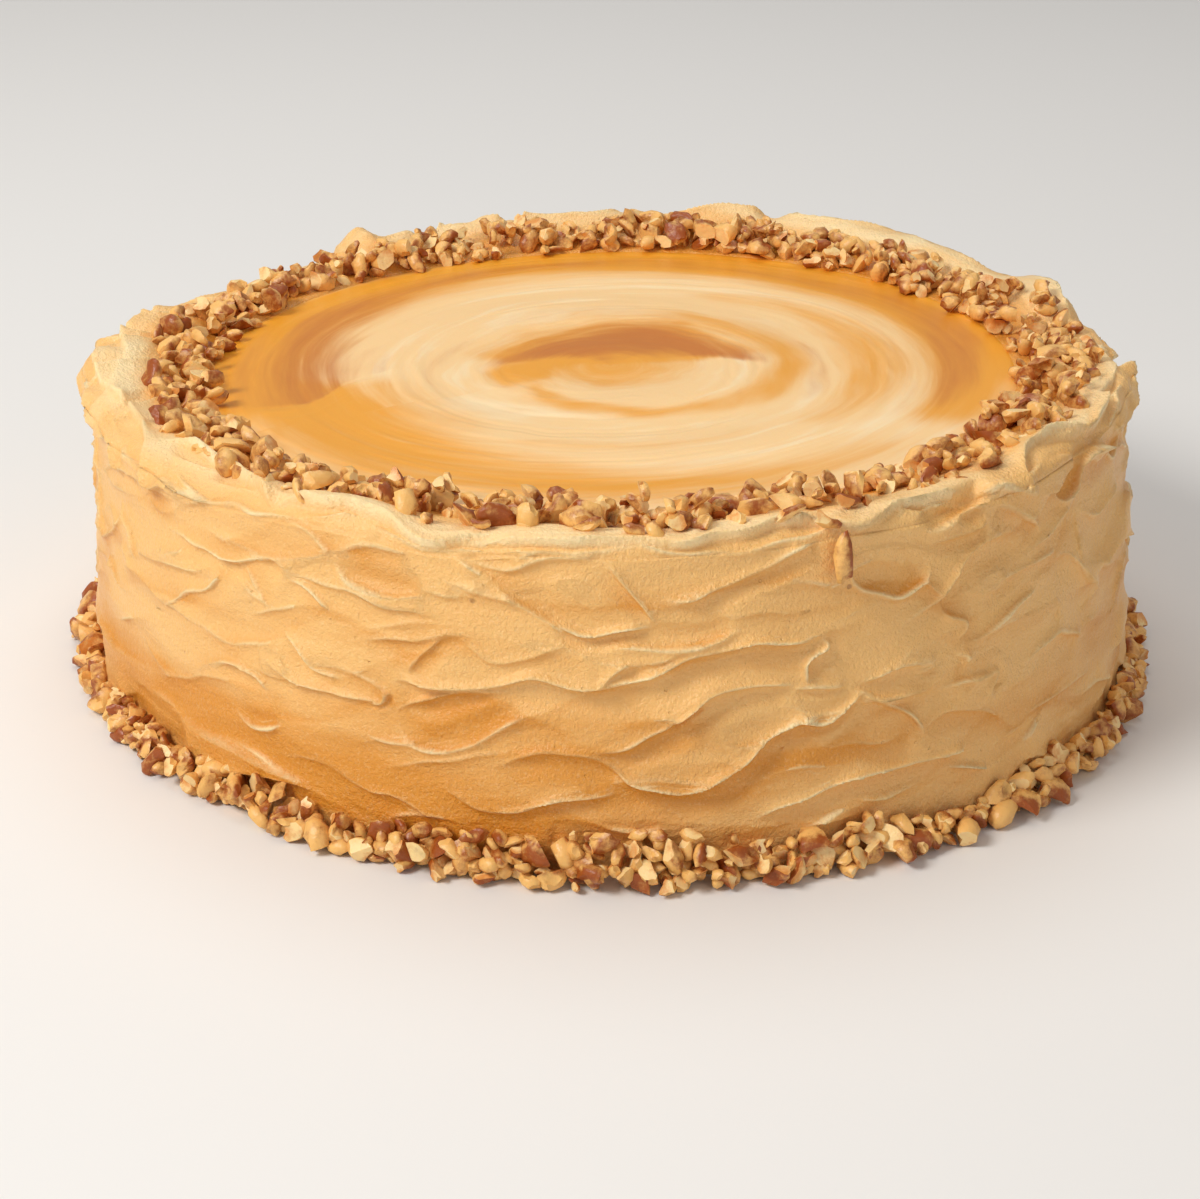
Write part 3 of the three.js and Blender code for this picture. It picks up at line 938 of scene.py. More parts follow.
@dataclass(frozen=True)
class Buttercream:
    """Dulce de leche buttercream on the side and the rim, paler or deeper with the caramel in it, with a
    painted highlight on the crests and painted shade in the hollows beside them.
    """

    cream: Colour = (255, 228, 174)
    plain: Colour = (245, 192, 117)
    deep: Colour = (222, 147, 48)
    speck: Colour = (150, 92, 48)
    to_plain: Span = (-1.1, -0.05)  # the caramel at which cream has begun, and ended, to turn plain
    to_deep: Span = (0.0, 1.1)
    gloss: Gloss = Gloss(roughness=0.38, subsurface=0.08, subsurface_scale=0.003)
    mottle: float = 0.5
    grain: float = 0.45  # millimetres
    pit: float = 0.25  # millimetres
    streaks: Cloud = Cloud(1.0, 2.0, 0.6)
    streak: float = 0.09  # millimetres
    crest: float = 0.3  # millimetres for a lip of 1
    # painted highlight: how far the colour turns to cream along a crest
    crest_painted_highlight: float = 1.35
    crest_breaks: Cloud = Cloud(48.0)
    crest_break: Span = (0.35, 0.65)
    crest_least: float = 0.25
    # painted shade: how much deeper the colour is made in the hollow beside a crest
    hollow_painted_shade: float = 0.2
    sugar_grains: Cloud = Cloud(1400.0, 2.0, 0.6)
    sugar_rarity: Span = (0.52, 0.72)
    sugar: float = 0.16  # how far the finest grains are paler
    palest: float = 0.9
    speck_scale: float = 130.0
    speck_edge: Span = (0.05, 0.1)
    speck_places: Cloud = Cloud(60.0, 1.0)
    speck_rarity: Span = (0.63, 0.7)
    speck_share: float = 0.6

    def material(self) -> bpy.types.Material:
        """Makes the material.

        Returns:
            The material.
        """
        material, bench = blank_material("buttercream")
        place = bench.add("ShaderNodeTexCoord").outputs["Object"]
        grain = bench.add("ShaderNodeGroup", {"Vector": place}, node_tree=Grain().group())
        edge = bench.add("ShaderNodeGroup", node_tree=Crest().group())
        bench.tree.links.new(bench.attribute("edge_gap"), edge.inputs["Gap"])
        bench.tree.links.new(bench.attribute("lip"), edge.inputs["Lip"])
        unbroken = bench.ramp(bench.noise(place, self.crest_breaks), *self.crest_break)
        unbroken = bench.math("MULTIPLY_ADD", unbroken, 1 - self.crest_least, self.crest_least)
        crest = bench.math("MULTIPLY", edge.outputs["Crest"], unbroken)
        colour = self.colour(bench, place, grain.outputs["Mottle"], crest, edge.outputs["Hollow"])
        height = bench.math("MULTIPLY", crest, self.crest)
        streaks = bench.noise(bench.attribute("blade", "Vector"), self.streaks)
        height = bench.math("MULTIPLY_ADD", streaks, self.streak, height)
        height = bench.math("MULTIPLY_ADD", grain.outputs["Height"], self.grain, height)
        height = bench.math("MULTIPLY_ADD", grain.outputs["Pit"], -self.pit, height)
        self.gloss.dressed(bench, colour, height, distance=MM, strength=1.0)
        return material

    def colour(self, bench: Bench, place: object, mottle: object, crest: object,
               hollow: object) -> Socket:
        """Mixes the colour: by the caramel, with painted shade in the hollows, a painted highlight on
        crests, paler grains of sugar, and a few specks.

        Args:
            bench: Where the nodes go.
            place: The socket of each point's place.
            mottle: That of the broad mottling, from 0 to 1.
            crest: That of the strokes' crests, where a highlight is painted.
            hollow: And that of the hollows beside them, where shade is painted.

        Returns:
            The colour's socket.
        """
        mottle = bench.math("MULTIPLY", bench.math("SUBTRACT", mottle, 0.5), self.mottle)
        caramel = bench.math("ADD", bench.attribute("caramel"), mottle)
        # Painted shade in the hollow beside a crest.
        caramel = bench.math("MULTIPLY_ADD", hollow, self.hollow_painted_shade, caramel)
        colour = bench.mix(bench.ramp(caramel, *self.to_plain), linear(self.cream), linear(self.plain))
        colour = bench.mix(bench.ramp(caramel, *self.to_deep), colour, linear(self.deep))
        sugar = bench.ramp(bench.noise(place, self.sugar_grains), *self.sugar_rarity)
        # Paler grains of sugar, and a painted highlight along the crests.
        pale = bench.math("MULTIPLY_ADD", sugar, self.sugar, bench.math("MULTIPLY", crest, self.crest_painted_highlight))
        colour = bench.mix(bench.math("MINIMUM", pale, self.palest), colour, linear(self.cream))
        rare = bench.ramp(bench.noise(place, self.speck_places), *self.speck_rarity)
        clear = bench.ramp(bench.cells(place, self.speck_scale), *self.speck_edge)
        speck = bench.math("MULTIPLY", bench.math("SUBTRACT", 1.0, clear), rare)
        return bench.mix(bench.math("MULTIPLY", speck, self.speck_share), colour, linear(self.speck))


@dataclass(frozen=True)
class MarbledButtercream:
    """The top's buttercream, marbled with plain dulce de leche that the turning knife drew into arcs."""

    pale: Colour = (253, 210, 149)
    bright: Colour = (255, 228, 182)
    amber: Colour = (239, 163, 44)
    brown: Colour = (202, 118, 34)
    gloss: Gloss = Gloss(roughness=0.4, subsurface=0.12, subsurface_scale=0.004, coat=0.05, specular=0.45)
    broad: Cloud = Cloud(0.9, 3.0, 0.6)
    streaks: Cloud = Cloud(2.2, 4.0, 0.6)
    streak_stray: float = 0.45  # how far the streaks move the edges of an arc, against the broad noise's 1
    to_bright: Span = (-0.05, 0.2)
    to_amber: Span = (0.0, 0.95)
    to_brown: Span = (0.05, 1.2)
    brown_edge: Span = (0.0, 0.3)  # the strength at which the noise has begun, and ended, to move brown
    grain_height: float = 0.6
    streak_height: float = 0.6
    bump: float = 0.14
    bump_distance: float = 0.0003

    def material(self) -> bpy.types.Material:
        """Makes the material.

        Returns:
            The material.
        """
        material, bench = blank_material("marbled_buttercream")
        place = bench.add("ShaderNodeTexCoord").outputs["Object"]
        grain = bench.add("ShaderNodeGroup", {"Vector": place}, node_tree=Grain().group())
        swirl = bench.attribute("swirl", "Vector")
        broad = bench.math("SUBTRACT", bench.noise(swirl, self.broad), 0.5)
        streaks = bench.math("SUBTRACT", bench.noise(swirl, self.streaks), 0.5)
        stray = bench.math("ADD", broad, bench.math("MULTIPLY", streaks, self.streak_stray))
        amber = bench.ramp(bench.math("ADD", bench.attribute("amber"), stray), *self.to_amber)
        deep = bench.attribute("caramel")
        near = bench.math("MULTIPLY", stray, bench.ramp(deep, *self.brown_edge))
        brown = bench.ramp(bench.math("ADD", deep, near), *self.to_brown)
        colour = bench.mix(bench.ramp(broad, *self.to_bright), linear(self.pale), linear(self.bright))
        colour = bench.mix(amber, colour, linear(self.amber))
        colour = bench.mix(brown, colour, linear(self.brown))
        height = bench.math("ADD", bench.math("MULTIPLY", grain.outputs["Height"], self.grain_height),
                            bench.math("MULTIPLY", streaks, self.streak_height))
        self.gloss.dressed(bench, colour, height, self.bump_distance, self.bump)
        return material


@dataclass(frozen=True)
class NutFinish:
    """A face of a chopped nut: its brown skin, or the paler inside that the knife laid open."""

    name: str
    light: Colour
    dark: Colour
    gloss: Gloss
    veins: Cloud = Cloud(380.0, 4.0, 0.65)
    vein_tone: float = 2.4
    tone_shift: float = -1.3
    bump: float = 0.8
    bump_distance: float = 0.0005

    def material(self) -> bpy.types.Material:
        """Makes the material.

        Returns:
            The material.
        """
        material, bench = blank_material(self.name)
        place = bench.add("ShaderNodeTexCoord").outputs["Object"]
        veins = bench.noise(place, self.veins)
        tone = bench.math("MULTIPLY_ADD", veins, self.vein_tone, self.tone_shift)
        tone = bench.math("ADD", bench.attribute("tone"), tone)
        colour = bench.mix(bench.ramp(tone, 0.0, 1.0), linear(self.light), linear(self.dark))
        self.gloss.dressed(bench, colour, veins, self.bump_distance, self.bump)
        return material


NUT_SKIN = NutFinish("nut_skin", light=(241, 187, 108), dark=(157, 77, 20),
                     gloss=Gloss(roughness=0.38, subsurface=0.08, subsurface_scale=0.002))
NUT_INSIDE = NutFinish("nut_inside", light=(251, 215, 150), dark=(223, 150, 74),
                       gloss=Gloss(roughness=0.42, subsurface=0.12, subsurface_scale=0.002))


# ---- The side and the rim ----


FRONT_SWEEPS: tuple[Sweep, ...] = (
    # The far left of what shows.
    Sweep(((-72, 38), (-67, 43.5), (-61, 55)), -6, 0.4, 0.4, 0.3),
    Sweep(((-70, 60), (-60, 66), (-55, 63.5)), -5, 0.5, 0.4),
    Sweep(((-50.5, 38.5), (-47.5, 45.5), (-43.4, 49), (-41, 53), (-41.6, 57.5)), -6, 0.5, 0.5),
    Sweep(((-50.5, 58), (-47, 59), (-43, 58.7), (-39, 58.4), (-36.5, 60.8), (-34, 62.3), (-31.5, 59.8)),
          -6, 0.7, 0.55),
    Sweep(((-32.3, 59), (-29.5, 57), (-27, 53)), -4, 0.6, 0.6),
    Sweep(((-42.3, 31.5), (-39.5, 34), (-36, 33.3), (-34.8, 30.5)), -6, 0.8, 0.55),
    Sweep(((-62.8, 57.8), (-60.8, 53), (-58.2, 48.8), (-57.2, 45.2)), 4, 0.5, 0.5),
    Sweep(((-78, 66), (-74, 58), (-71, 48), (-70, 40)), -5, 0.4, 0.5),
    Sweep(((-86, 60), (-82, 50), (-81, 36)), -5, 0.4, 0.5),
    Sweep(((-32.8, 46.2), (-30.8, 43.5), (-28.5, 40.5), (-25.8, 39.2)), -6, 0.6, 0.55),
    Sweep(((-39.5, 24.5), (-37, 22), (-34, 22), (-32.5, 23.5)), 5, 0.7, 0.6),
    Sweep(((-36, 39.5), (-31, 36), (-26, 35.3), (-21, 34.5)), -8, 0.6, 0.45),
    # The frosting laid over the rim, from left to right.
    Sweep(((-91.5, 74.8), (-84, 73.5), (-76, 74.8), (-68.2, 77), (-60, 75.5), (-55.8, 72.2), (-52.8, 64)),
          7, -0.9, 0.5, -0.25),
    Sweep(((-80.2, 73), (-74.8, 69.5), (-70.2, 66.8)), 5, -0.8, 0.4, -0.15),
    Sweep(((-74.2, 63.5), (-68, 67.5), (-64, 68.2), (-61.2, 62.5)), 5, -0.7, 0.4, -0.15),
    Sweep(((-102, 90), (-98, 84), (-95, 77), (-94, 68)), -6, 0.5, 0.5, -0.1),
    Sweep(((-90, 91), (-86, 85), (-82, 78), (-80, 70)), -6, 0.6, 0.5, -0.1),
    Sweep(((-77, 89), (-72, 83), (-69, 77), (-67, 71)), -5, 0.6, 0.5, -0.1),
    Sweep(((-57, 74), (-55.2, 79.2), (-50, 80.4), (-45.2, 79.8), (-39, 76), (-34.8, 72)),
          8, -1.1, 0.5, -0.15),
    Sweep(((-35.5, 71.6), (-32.2, 75.8), (-26, 75.2), (-20, 72.7), (-15.2, 71.8), (-10, 73.8)),
          9, -1.1, 0.5, -0.3),
    Sweep(((-15.8, 71.8), (-6, 71.8), (3.8, 71.6), (10.5, 72), (18, 74.8), (22, 73.5)), 8, -0.9, 0.4, -0.3),
    Sweep(((19, 75.5), (23.5, 71.3), (28, 71.4), (32.8, 73.4), (38, 73), (47, 67.2)), 8, -1.0, 0.5, -0.15),
    Sweep(((46.8, 66.8), (46, 72), (50, 75.8), (57, 75.5), (63, 72.5), (72, 74)), 7, -1.0, 0.5, -0.15),
    Sweep(((72, 75), (80, 73), (90, 74.5), (99, 73.5)), 7, -0.45, 0.3, -0.15),
    # The right, under the rim.
    Sweep(((30.5, 68.5), (33.8, 72.6), (40, 69.3)), -3.5, 0.8, 0.35),
    Sweep(((46.8, 66.8), (53.2, 64.8), (60, 65.5), (66, 67)), -6, 0.5, 0.4),
    Sweep(((50.2, 60.2), (51.4, 66), (56, 67.2), (62.5, 66.2)), -6, 0.6, 0.35),
    Sweep(((32.2, 65), (36.5, 65.8), (39.8, 66)), -4, 0.5, 0.4),
    Sweep(((44.2, 54.2), (52.2, 59), (55.5, 61)), -7, 0.6, 0.4),
    Sweep(((39.8, 49.5), (42, 52.5), (48.2, 53), (52.2, 53.5)), -6, 0.6, 0.4),
    # Left, under the rim.
    Sweep(((-38.2, 58.8), (-35.5, 55), (-33.8, 50.2)), 5, 0.4, 0.3),
    # Left of the middle.
    Sweep(((-33, 71), (-29.5, 68.5), (-26.5, 64.5)), 4, 0.5, 0.4),
    Sweep(((-26.8, 64.5), (-23, 68.5), (-18.5, 69.2)), -4, 0.6, 0.35, 0.2),
    Sweep(((-26.8, 64.5), (-24.8, 60), (-21, 58.7), (-17, 60)), 7, 0.8, 0.5, 0.2),
    Sweep(((-25, 48.5), (-20, 50), (-15, 52), (-12, 52.5)), -6, 0.6, 0.3),
    Sweep(((-14.5, 52.4), (-17, 48.5), (-18.8, 43)), 6, 0.5, 0.35),
    # The long wave across the middle, and the tongue above it.
    Sweep(((-21.5, 38.5), (-19, 41.3), (-13, 41.2), (-6, 44.4), (2, 43.2), (8, 49), (13, 51.3), (20, 49.5)),
          -9, 1.0, 0.7, 0.15),
    Sweep(((-15, 70.5), (-11, 64.8), (-7, 58.8), (-3, 53.8), (2, 51), (8, 50.8), (13, 56)), 8, 1.0, 0.6),
    Sweep(((-13.5, 69), (-9, 66), (-4, 69), (0, 70.5)), -4, 0.8, 0.4),
    Sweep(((-0.5, 70), (2, 64.5), (5, 56.5)), -5, 0.7, 0.5),
    Sweep(((5.4, 56.6), (4.6, 55.6), (0, 54.2), (-5, 55.8)), 4, 1.3, 0.8),
    Sweep(((4.5, 63.4), (8, 61), (11, 63.3), (16, 67), (21, 70)), -5, 0.9, 0.5),
    # The big eye, and the lens and the ridges right of it.
    Sweep(((-20.3, 31.5), (-18.5, 36), (-14.5, 39.8), (-9, 41.2)), -9, 0.9, 0.35, 0.3),
    Sweep(((-20.3, 31.5), (-18.8, 27.5), (-16.5, 26.2), (-13.5, 28), (-10, 32.5), (-7, 37)),
          6, 0.8, 0.5, 0.3),
    Sweep(((-23.2, 33.8), (-21.4, 34.4), (-20.6, 38)), -2.5, 1.1, 0.6),
    Sweep(((-8.5, 14.5), (-4, 17.7), (1, 20.3)), -5, 1.0, 0.7),
    Sweep(((-11, 21.5), (-10, 25.5), (-7, 28), (-4, 28.5), (-1, 27), (2, 22.8)), -7, 0.8, 0.3, 0.35),
    Sweep(((-2, 28), (2, 30.5), (5, 33), (7, 36), (9.5, 39.8), (13, 41.5), (18, 41.2)), -7, 1.2, 0.5, 0.2),
    Sweep(((-1, 26.5), (2, 22.5), (5, 20), (8, 20), (11, 22.7), (13.5, 27), (17, 31.5), (21, 34.5)),
          -9, 1.1, 0.75, 0.3),
    Sweep(((20.5, 50), (21.3, 47.5), (19.3, 45), (19.2, 41)), 5, 1.1, 0.8),
    Sweep(((17.5, 40.3), (20, 40.5), (23, 39.8)), -3, 1.1, 0.4, 0.1),
    Sweep(((5, 33.5), (7, 36.2), (9.5, 39.6)), -2.4, 2.1, 0.3, 0.3),
    Sweep(((23.5, 38.5), (26, 39.3), (29, 40.6), (34, 40)), -5, 0.7, 0.55),
    Sweep(((31, 38.9), (33.6, 39.2)), -1.6, 1.6, 0.2),
    Sweep(((17.5, 33.8), (21, 32.4), (23.4, 34), (24.8, 37)), -3, 1.0, 0.9),
    Sweep(((24, 36), (27.5, 33), (30.5, 28.5), (32, 24.5)), -6, 0.7, 0.45),
    Sweep(((13.3, 12), (17, 14.2), (22, 17.4), (28, 19.2), (38, 18.2)), -6, 1.0, 0.85),
    Sweep(((34.5, 14.5), (37, 14), (40.5, 11.5)), -4, 0.7, 0.65),
    # The right.
    Sweep(((24, 66), (24.3, 61), (26.5, 57.3), (29.5, 55.6), (32, 57.5), (33, 61)), 7, 0.9, 0.55),
    Sweep(((31, 68), (33.5, 67.3), (37, 69.7), (41, 71.5)), 4, 1.3, 0.35),
    Sweep(((28.5, 49.7), (32.5, 51.7), (35, 55.5), (38, 61.3), (42, 62.3), (46, 59.5)), -7, 0.9, 0.55),
    Sweep(((34, 53.5), (34.8, 49.5), (37.3, 46.5), (36.2, 43)), 6, 0.8, 0.45),
    Sweep(((36.5, 42.5), (38.5, 41.5), (42, 42.5), (45.5, 45.5), (48.5, 46.8)), 5, 0.6, 0.45),
    Sweep(((36, 40.3), (37.6, 38), (37, 35), (38.5, 33.5)), -3, 0.9, 0.7),
    Sweep(((33, 34.5), (38, 33.5), (41.5, 33), (40.5, 29), (41.5, 27)), 4, 0.7, 0.5),
    Sweep(((45, 31), (47.5, 33.6), (52, 34.2), (55.5, 31.5), (57, 28.5)), -7, 0.8, 0.4),
    Sweep(((50, 66.5), (53, 62.8), (55.5, 62.3), (58, 66.5), (62, 68.5)), 6, 0.9, 0.55),
    Sweep(((40, 69.5), (43, 66.3), (46.5, 62.5), (48.5, 58)), -5, 0.6, 0.45),
    Sweep(((45, 19.5), (52, 20.2), (60, 19.7)), -6, 0.5, 0.35),
)

SIDE_STAINS: tuple[Stain, ...] = (
    Stain(-43, 15, 26, 13, 1.1), Stain(-18, 14, 15, 10, 1.0), Stain(-9, 33, 12, 6, 0.35),
    Stain(16, 25, 13, 7, 0.3), Stain(-3, 24, 7, 4, 0.2), Stain(-53, 66, 2.5, 5, 0.6),
    Stain(5, 34, 9, 5, 0.3), Stain(40, 26, 18, 10, 0.3), Stain(-70, 30, 8, 18, 0.4),
    Stain(-22, 63, 5, 4, 0.3), Stain(95, 22, 25, 9, 0.5), Stain(150, 40, 20, 10, 0.5),
    Stain(205, 18, 26, 8, 0.6), Stain(250, 46, 16, 9, 0.4), Stain(178, 58, 12, 6, 0.4),
)


@dataclass(frozen=True)
class RoughPass:
    """The first strokes all over the side, which show between the later ones. Spans are drawn from."""

    azimuth_step: float = 9.0
    rises: tuple[float, float, float] = (6.0, 72.0, 11.0)  # lowest, end and step
    rise_stray: Span = (-4.0, 4.0)
    length: Span = (12.0, 26.0)  # degrees
    climb: Span = (-8.0, 12.0)
    bow: Span = (-6.0, 6.0)
    shape: Triples = ((0.3, 0.2, 1.0), (0.6, 0.6, 0.8), (0.85, 0.95, -0.2))
    upward: float = 0.3  # share of the strokes whose face lies above their edge
    width: Span = (10.0, 18.0)
    dig: Span = (0.7, 1.5)
    lip: Span = (0.2, 0.6)

    def strokes(self, draw: Callable[..., float]) -> Iterator[Sweep]:
        """Draws the strokes one after another.

        Args:
            draw: The seeded draw from a span.

        Yields:
            Each stroke. Its shape has shares of its length, its climb and its bow at the points between.
        """
        for azimuth in np.arange(-HALF_TURN, HALF_TURN, self.azimuth_step):
            for rise in np.arange(*self.rises):
                start = azimuth + draw(0.0, self.azimuth_step)
                low = rise + draw(*self.rise_stray)
                length = draw(*self.length)
                climb = draw(*self.climb)
                bow = draw(*self.bow)
                between = tuple((start + along * length, low + up * climb + bend * bow)
                                for along, up, bend in self.shape)
                path = ((start, low), *between, (start + length, low + climb))
                side = 1 if draw() < self.upward else -1
                yield Sweep(path, side * draw(*self.width), draw(*self.dig), draw(*self.lip))


@dataclass(frozen=True)
class RimFolds:
    """The strokes that folded the frosting over the top edge: long ones, then short ones inside them."""

    count: int = 15
    start_stray: Span = (-4.0, 4.0)
    length: Span = (20.0, 34.0)  # degrees
    outer: Span = (0.2, 2.2)  # how far past the edge a fold runs
    starts_in: Span = (2.5, 5.5)  # and how much further in it starts
    ends_in: Span = (1.5, 4.0)
    near_start: tuple[float, float] = (0.25, 0.8)  # a share of its length, and how far in it is there
    near_end: float = 0.6
    width: Span = (8.0, 13.0)
    dig: Span = (0.5, 1.0)
    lip: Span = (0.5, 0.9)
    short_stray: Span = (-5.0, 5.0)
    short_turns: tuple[float, float, float] = (0.0, 6.0, 13.0)  # degrees from its start
    short_in: tuple[Span, Span, Span] = ((5.0, 9.0), (5.0, 8.0), (6.0, 11.0))
    short_width: Span = (3.0, 6.0)
    short_dig: Span = (0.3, 0.7)
    short_lip: Span = (0.25, 0.55)
    caramel: float = -0.1

    def strokes(self, edge: float, draw: Callable[..., float]) -> Iterator[Sweep]:
        """Draws the strokes one after another round the rim.

        Args:
            edge: Where the side turns over, in millimetres along the profile.
            draw: The seeded draw from a span.

        Yields:
            Each stroke.
        """
        for fold in range(self.count):
            start = FULL_TURN * fold / self.count + draw(*self.start_stray)
            length = draw(*self.length)
            outer = edge + draw(*self.outer)
            early, early_in = self.near_start
            path = ((start, outer + draw(*self.starts_in)), (start + early * length, outer + early_in),
                    (start + self.near_end * length, outer), (start + length, outer + draw(*self.ends_in)))
            yield Sweep(path, draw(*self.width), draw(*self.dig), draw(*self.lip), self.caramel)
        for fold in range(2 * self.count):
            start = FULL_TURN * fold / (2 * self.count) + draw(*self.short_stray)
            path = tuple((start + turn, edge + draw(*inwards))
                         for turn, inwards in zip(self.short_turns, self.short_in))
            yield Sweep(path, draw(*self.short_width), draw(*self.short_dig), draw(*self.short_lip),
                        self.caramel)


@dataclass
class FrostedSide:
    """The buttercream of the side and the rim."""

    form: CakeForm
    finish: Buttercream = Buttercream()
    name: str = "frosting_side"
    spacing: float = 0.37
    faces: int = 190_000
    floor_gap: float = 0.2
    inner_drop: float = 4.0  # how far below the marbled top its inner end is closed
    rough: RoughPass = RoughPass()
    folds: RimFolds = RimFolds()
    bold: Boldness = Boldness()
    front_span: Span = (-72.0, 62.0)  # between these azimuths only the listed strokes are drawn
    overlap: float = 20.0  # degrees by which the strokes' second round falls short of a full turn
    stray_up: float = 2.5
    stray_round: float = 2.0
    swells: Triples = ((0.35, 7.0, 10.0), (0.3, 5.0, 20.0))
    mottling: Triples = ((0.12, 3.5, 16.0), (0.07, 1.0, 7.0))
    ripples: Triples = ((0.035, 0.55, 9.0), (0.03, 1.4, 2.0))
    least_caramel: float = -0.15  # before the strokes
    caramel_span: Span = (-0.9, 1.2)  # and after them
    # painted light: how much paler the frosting's upward faces over the rim are made
    rim_painted_light: float = 0.3
    rim_from: Span = (1.0, 6.0)  # millimetres past the edge between which it turns so
    inner_deeper: float = 1.2
    inner_from: Span = (19.0, 9.0)  # and before the inner end
    top_relief: float = 0.15  # share of the relief that runs on under the marbled top
    push_from: float = 6.0  # how far inside the rim's crest its lobes start to stand out
    streaks_along: float = 5.0
    seed: int = 11

    def build(self) -> Piece:
        """Models the piece and dresses it.

        Returns:
            The piece.
        """
        sheet = self.spread()
        for stroke in self.rough.strokes(sheet.rng.uniform):
            sheet.sweep(stroke)
        for stroke in self.folds.strokes(self.edge, sheet.rng.uniform):
            sheet.sweep(stroke)
        self.sweep_round(sheet)
        sheet.height += self.clouds(sheet, self.ripples)
        sheet.caramel = np.clip(sheet.caramel, *self.caramel_span)
        piece = grid_piece(self.name, sheet.rows, sheet.columns)
        set_points(piece, self.placed(sheet))
        # The caramel attribute also carries the painted shade under the crests and the painted light over
        # the rim.
        for name, values in (("caramel", sheet.caramel), ("edge_gap", sheet.edge_gap), ("lip", sheet.lip)):
            set_attribute(piece, name, closed_ring(values).reshape(-1, 1))
        set_attribute(piece, "blade", closed_ring(self.blade(sheet)).reshape(-1, 3))
        merge_seam(piece)
        apply_modifier(piece, "DECIMATE", ratio=self.faces / (2 * sheet.rows * sheet.columns))
        foot = self.form.belly_height
        close_edge(piece, lambda points: points[:, 2] < foot)
        close_edge(piece, lambda points: points[:, 2] > foot, drop=self.inner_drop)
        smooth(piece)
        piece.data.materials.append(self.finish.material())
        return piece

    @property
    def edge(self) -> float:
        """Where the side turns over into the rim, in millimetres along the profile."""
        return self.form.rim_height - self.form.rim_turn

    @staticmethod
    def clouds(sheet: Sheet, kinds: Triples) -> Array:
        """The sum of some kinds of noise, each given by its depth and its lumps' size up and across."""
        return sum(depth * sheet.noise(up, across) for depth, up, across in kinds)

    def spread(self) -> Sheet:
        """Lays out the frosting as it is before the knife.

        Returns:
            The sheet.
        """
        mm_per_degree = math.radians(self.form.belly_radius)
        end = self.form.profile_length
        rows = round(end / self.spacing)
        columns = round(FULL_TURN * mm_per_degree / self.spacing)
        sheet = Sheet(rows, columns, 0.0, end, mm_per_degree, self.seed)
        azimuth, rise = sheet.azimuth[None, :], sheet.rise[:, None]
        for wave in self.form.side_waves:
            sheet.height += wave.at(azimuth, rise)
        sheet.height += self.clouds(sheet, self.swells)
        sheet.caramel += self.clouds(sheet, self.mottling)
        for stain in SIDE_STAINS:
            sheet.caramel += stain.at(azimuth, rise)
        sheet.caramel = np.maximum(sheet.caramel, self.least_caramel)
        # Painted light: the frosting is made paler from just past the rim's edge, where it faces up.
        near, far = self.rim_from
        sheet.caramel -= self.rim_painted_light * smoothstep(self.edge + near, self.edge + far, rise)
        near, far = self.inner_from
        sheet.caramel += self.inner_deeper * smoothstep(end - near, end - far, rise)
        return sheet

    def sweep_round(self, sheet: Sheet) -> None:
        """Draws the strokes that show: the same hand's round the rest of the cake, and then the front's.

        Args:
            sheet: The sheet to draw on.
        """
        low, high = self.front_span
        draw = sheet.rng.uniform
        for mirror, shift in ((True, 2 * high), (False, FULL_TURN - self.overlap)):
            for stroke in FRONT_SWEEPS:
                raised = draw(-self.stray_up, self.stray_up)
                turned = stroke.moved(shift + draw(-self.stray_round, self.stray_round), mirror, raised)
                middle = np.mean([azimuth for azimuth, _ in turned.path]) % FULL_TURN
                if high < middle < FULL_TURN + low:
                    sheet.sweep(turned.bolder(self.bold))
        for stroke in FRONT_SWEEPS:
            sheet.sweep(stroke.bolder(self.bold))

    def blade(self, sheet: Sheet) -> Array:
        """Where each place lies along and across the blade's way, for its finest streaks."""
        a = np.broadcast_to(np.radians(sheet.azimuth), sheet.shape)
        reach = self.streaks_along
        return np.stack([reach * np.cos(a), reach * np.sin(a), sheet.flow], axis=-1)

    def placed(self, sheet: Sheet) -> Array:
        """Wraps the sheet round the cake.

        Args:
            sheet: The sheet.

        Returns:
            Its points, in millimetres.
        """
        form = self.form
        radius, height, out, up = (values[:, None] for values in form.profile(sheet.rise))
        azimuth = sheet.azimuth[None, :]
        lift, push = form.rim_lobe(azimuth)
        below = smoothstep(form.rim_height - form.lobe_reach, form.rim_height, height)
        crest = form.crest_radius
        inside = smoothstep(form.top_radius, crest, radius)
        outside = smoothstep(crest - self.push_from, form.shoulder_radius, radius)
        relief = sheet.height * np.clip(inside + self.top_relief, 0.0, 1.0)
        radius = radius + out * relief + push * below * outside
        height = height + up * relief + lift * np.where(radius > crest, below, inside)
        height = np.maximum(height, self.floor_gap)
        return closed_ring(form.settled(azimuth, radius, height))


# ---- The marbled top ----


class Tint(Enum):
    """What the turning knife drew into the top's buttercream, by the attribute that carries it."""

    BROWN = "caramel"
    AMBER = "amber"


